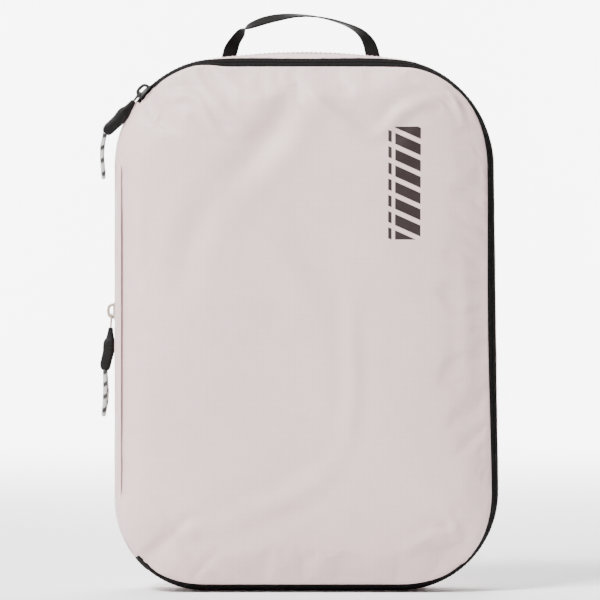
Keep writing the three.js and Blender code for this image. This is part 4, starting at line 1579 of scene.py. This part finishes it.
class PACKING_CUBE_OT_pulls(bpy.types.Operator):
    """Both sliders with their crowns, links, grips and cord loops"""

    bl_idname = "packing_cube.pulls"
    bl_label = "Sliders and pulls"

    def execute(self, context):
        angle = math.radians(SLIDER_ANGLE)
        lean = math.atan2(CORNER_EDGE, ZIP_REAR_Y - ZIP_FRONT_Y)
        c, s = math.cos(angle), math.sin(angle)
        radius = TOP_LEFT.r - CORNER_EDGE / 2
        place = Vector((TOP_LEFT.x + radius * c, ZIP_Y, TOP_LEFT.z + radius * s))
        along = Vector((-s, 0, c))
        out = Vector((c * math.cos(lean), -math.sin(lean), s * math.cos(lean)))
        frame = frame_of(along, out, place)
        self.pull("main", frame, "dark paint", "black_metal", 5.4, 36.5, MAIN_SWAY)
        place = Vector((BOTTOM_LEFT.x - BOTTOM_LEFT.r, COMPRESSION_Y, COMPRESSION_SLIDER_Z))
        frame = frame_of(Vector((0, 0, -1)), Vector((-1, 0, 0)), place)
        self.pull("compression", frame, "light paint", "light_metal", 7.6, 4, COMPRESSION_SWAY)
        return {"FINISHED"}

    def pull(self, prefix, place, paint, slot, reach, hang, sway):
        """One slider and everything that hangs on it.

        reach is the link's length; hang turns the link and grip from straight down, in degrees.
        """
        metal = material(paint)
        body = placed(slider_body(f"{prefix}_slider", metal), place)
        fitted(body, f"{prefix}_slider", slot, f"{prefix}_slider_body")
        crown = placed(slider_crown(f"{prefix}_crown", metal), place)
        fitted(crown, f"{prefix}_slider", slot, f"{prefix}_slider_crown")
        eye = place @ Vector((2.2, 0, 2.95))
        axis = -place.col[1].to_3d()
        up = (Vector((0, 0, 1)) - axis * axis.z).normalized()
        hanging = Matrix((axis.cross(up), axis, up)).transposed().to_4x4()
        hanging.translation = eye
        turn = Matrix.Rotation(math.radians(hang), 4, "Y")
        turned = hanging @ turn
        link = placed(pull_link(f"{prefix}_link", reach, metal), turned)
        fitted(link, f"{prefix}_pull", slot, f"{prefix}_pull_link")
        top = -reach - 0.7 - 0.65 - 0.3
        seat = turned @ Matrix.Translation((0, 0, top))
        grip = placed(pull_grip(f"{prefix}_grip", material("grip rubber")), seat)
        fitted(grip, f"{prefix}_pull", "black_grip", f"{prefix}_pull_grip")
        end = turn @ Vector((-1.7, 0, top - GRIP_LENGTH - 1.2))
        self.cord(prefix, hanging @ Matrix.Translation(end), sway)

    def cord(self, prefix, place, sway):
        """The cord loop, from inside the grip and back into it."""
        half = np.array(CORD_HALF)
        loop = np.vstack([half, CORD_TIP, half[::-1] * (-1, 1)])
        path = curve_through(np.column_stack([sway, loop]), 120)
        lead = np.array((0, 0, 1.7))
        into = [path[0] + lead, path[0] + lead / 2]
        back = [path[-1] + lead / 2, path[-1] + lead]
        path = np.vstack([into, path, back])
        turn = np.array(place)
        line = (path @ turn[:3, :3].T + turn[:3, 3]) * MM
        sections = tube_sections(line, CORD_DIAMETER / 2 * MM, 20)
        along = distances(line) / MM
        made = lofted(f"{prefix}_cord", sections, material("braided cord"), along)
        fitted(made, f"{prefix}_pull", "cord_yarn", f"{prefix}_pull_cord")


# -------------------------------------------------------------------------- handle and label


class PACKING_CUBE_OT_handle(bpy.types.Operator):
    """Twisted webbing handle, with its ends in the rear seam"""

    bl_idname = "packing_cube.handle"
    bl_label = "Handle"

    def execute(self, context):
        rows = [(x, HANDLE_Y, z, turn) for x, z, turn in HANDLE_ROUTE]
        left, right = ([(row[0], y, row[2] - drop, 0) for drop, y in HANDLE_TAIL]
                       for row in (rows[0], rows[-1]))
        rows = [*left, *rows, *reversed(right)]
        count = 300
        route = curve_through([r[:3] for r in rows], count)
        turns = np.radians(curve_through([(r[3], 0, 0) for r in rows], count)[:, 0])
        tangent = np.gradient(route, axis=0)
        tangent /= np.linalg.norm(tangent, axis=1)[:, None]
        inward = np.stack([-tangent[:, 2], np.zeros(count), tangent[:, 0]], axis=1)
        inward /= np.linalg.norm(inward, axis=1)[:, None]
        wide = inward * np.cos(turns)[:, None] + np.cross(tangent, inward) * np.sin(turns)[:, None]
        thick = np.cross(tangent, wide)
        angle = round_angles(28)
        along = distances(route)
        scallop = 1 + 0.012 * np.sin(along * TAU / 1.15)
        a = squared(np.cos(angle), 0.35)[None] * 4.95 * scallop[:, None]
        b = squared(np.sin(angle), 0.55)[None] * 0.62 * np.ones_like(scallop)[:, None]
        sections = route[:, None] + a[..., None] * wide[:, None] + b[..., None] * thick[:, None]
        handle = lofted("handle", sections * MM, material("webbing"), along)
        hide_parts("handle_webbing", "handle_end_left", "handle_end_right")
        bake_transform(handle)
        return {"FINISHED"}


class PACKING_CUBE_OT_label(bpy.types.Operator):
    """Blank care label, sewn into the rear seam inside"""

    bl_idname = "packing_cube.label"
    bl_label = "Care label"

    def execute(self, context):
        rows, columns = 24, 14
        z = np.linspace(13.2, 46.8, rows)
        x = np.linspace(-11.9, 11.9, columns)
        curl = 0.9 * np.linspace(0, 1, rows) ** 2
        front = np.stack(np.broadcast_arrays(x[None], 22.9 - curl[:, None], z[:, None]), axis=-1)
        back = front[:, ::-1] + np.array((0, 0.35, 0))
        sections = np.concatenate([front, back], axis=1) * MM
        label = lofted("blank_label", sections, material("label"), z)
        fitted(label, "rear_shell", "label_cloth", "care_label")
        return {"FINISHED"}


# ------------------------------------------------------------------------------------ stage


def area_light(name, place, target, size, power, colour=(1, 1, 1)):
    """A square soft light that faces a target."""
    lamp = bpy.data.lights.new(name, "AREA")
    lamp.shape = "SQUARE"
    lamp.size = size
    lamp.energy = power
    lamp.color = colour
    made = bpy.data.objects.new(name, lamp)
    made.location = place
    made.rotation_euler = (Vector(target) - Vector(place)).to_track_quat("-Z", "Y").to_euler()
    bpy.context.scene.collection.objects.link(made)
    return made


class PACKING_CUBE_OT_stage(bpy.types.Operator):
    """Pale floor, soft light and the front camera"""

    bl_idname = "packing_cube.stage"
    bl_label = "Stage"

    def execute(self, context):
        self.floor()
        self.lights(context.scene)
        camera = bpy.data.cameras.new("camera")
        camera.sensor_width = 36
        distance, width_seen = 2.6, 0.412
        camera.lens = camera.sensor_width * distance / width_seen
        eye = bpy.data.objects.new("camera", camera)
        eye.location = (-0.0045, -distance, 0.1985)
        eye.rotation_euler = (math.pi / 2, 0, 0)
        context.scene.collection.objects.link(eye)
        context.scene.camera = eye
        return {"FINISHED"}

    def floor(self):
        """A floor that rises behind the cube in one wide curve."""
        near, far, height, bend = -1.2, 3.8, 3.2, 1.2
        profile = [(near, 0), (0, 0), (far - bend, 0)]
        for i in range(1, 17):
            angle = math.pi / 2 * i / 16
            profile.append((far - bend + bend * math.sin(angle), bend * (1 - math.cos(angle))))
        profile.append((far, height))
        paper = Finish("pale floor", (0.93, 0.93, 0.93), 0.9)
        grain = paper.noise(paper.object_place(), 40.0, 3.0)
        tone = paper.mix(grain, (0.925, 0.925, 0.925, 1), (0.935, 0.935, 0.935, 1))
        paper.set(**{"Base Color": tone})
        points = [(x, y, z - 0.0004) for y, z in profile for x in (-4.5, 4.5)]
        faces = [(2 * i, 2 * i + 1, 2 * i + 3, 2 * i + 2) for i in range(len(profile) - 1)]
        new_object("floor", points, faces, paper.material)

    def lights(self, scene):
        world = bpy.data.worlds.new("studio")
        world.use_nodes = True
        background = world.node_tree.nodes["Background"]
        background.inputs["Color"].default_value = (1, 1, 1, 1)
        background.inputs["Strength"].default_value = 0.3
        scene.world = world
        area_light("key", (-1.25, -1.45, 2.35), (0, 0, 0.2), 0.9, 212)
        area_light("fill", (-1.2, -2.9, 0.7), (0, 0, 0.2), 1.6, 20)
        area_light("top", (0.1, 1.0, 2.5), (0, 1.3, 0), 1.4, 80)
        for side in (-1, 1):
            area_light("sweep", (side * 1.5, 2.4, 1.5), (side * 0.4, 3.8, 0.6), 1.5, 200)


# ------------------------------------------------------------------------------------ add-on

STEPS = (
    PACKING_CUBE_OT_stage,
    PACKING_CUBE_OT_pulls,
    PACKING_CUBE_OT_front_panel,
    PACKING_CUBE_OT_back_panel,
    PACKING_CUBE_OT_side_wall,
    PACKING_CUBE_OT_zips,
    PACKING_CUBE_OT_handle,
    PACKING_CUBE_OT_label,
)


class PACKING_CUBE_PT_panel(bpy.types.Panel):
    """Sidebar panel with the cube's settings and steps"""

    bl_idname = "PACKING_CUBE_PT_panel"
    bl_label = "Packing Cube"
    bl_space_type = "VIEW_3D"
    bl_region_type = "UI"
    bl_category = "Packing Cube"

    def draw(self, context):
        settings = context.scene.packing_cube
        for name in CubeSettings.__annotations__:
            self.layout.prop(settings, name)
        for step in STEPS:
            self.layout.operator(step.bl_idname)


CLASSES = (CubeSettings, *STEPS, PACKING_CUBE_PT_panel)


def register():
    for item in CLASSES:
        bpy.utils.register_class(item)
    bpy.types.Scene.packing_cube = PointerProperty(type=CubeSettings)


def unregister():
    del bpy.types.Scene.packing_cube
    for item in reversed(CLASSES):
        bpy.utils.unregister_class(item)


def main():
    register()
    bpy.ops.packing_cube.stage()
    bpy.ops.packing_cube.pulls()
    bpy.ops.packing_cube.front_panel()
    bpy.ops.packing_cube.back_panel()
    bpy.ops.packing_cube.side_wall()
    bpy.ops.packing_cube.zips()
    bpy.ops.packing_cube.handle()
    bpy.ops.packing_cube.label()


if __name__ == "__main__":
    main()
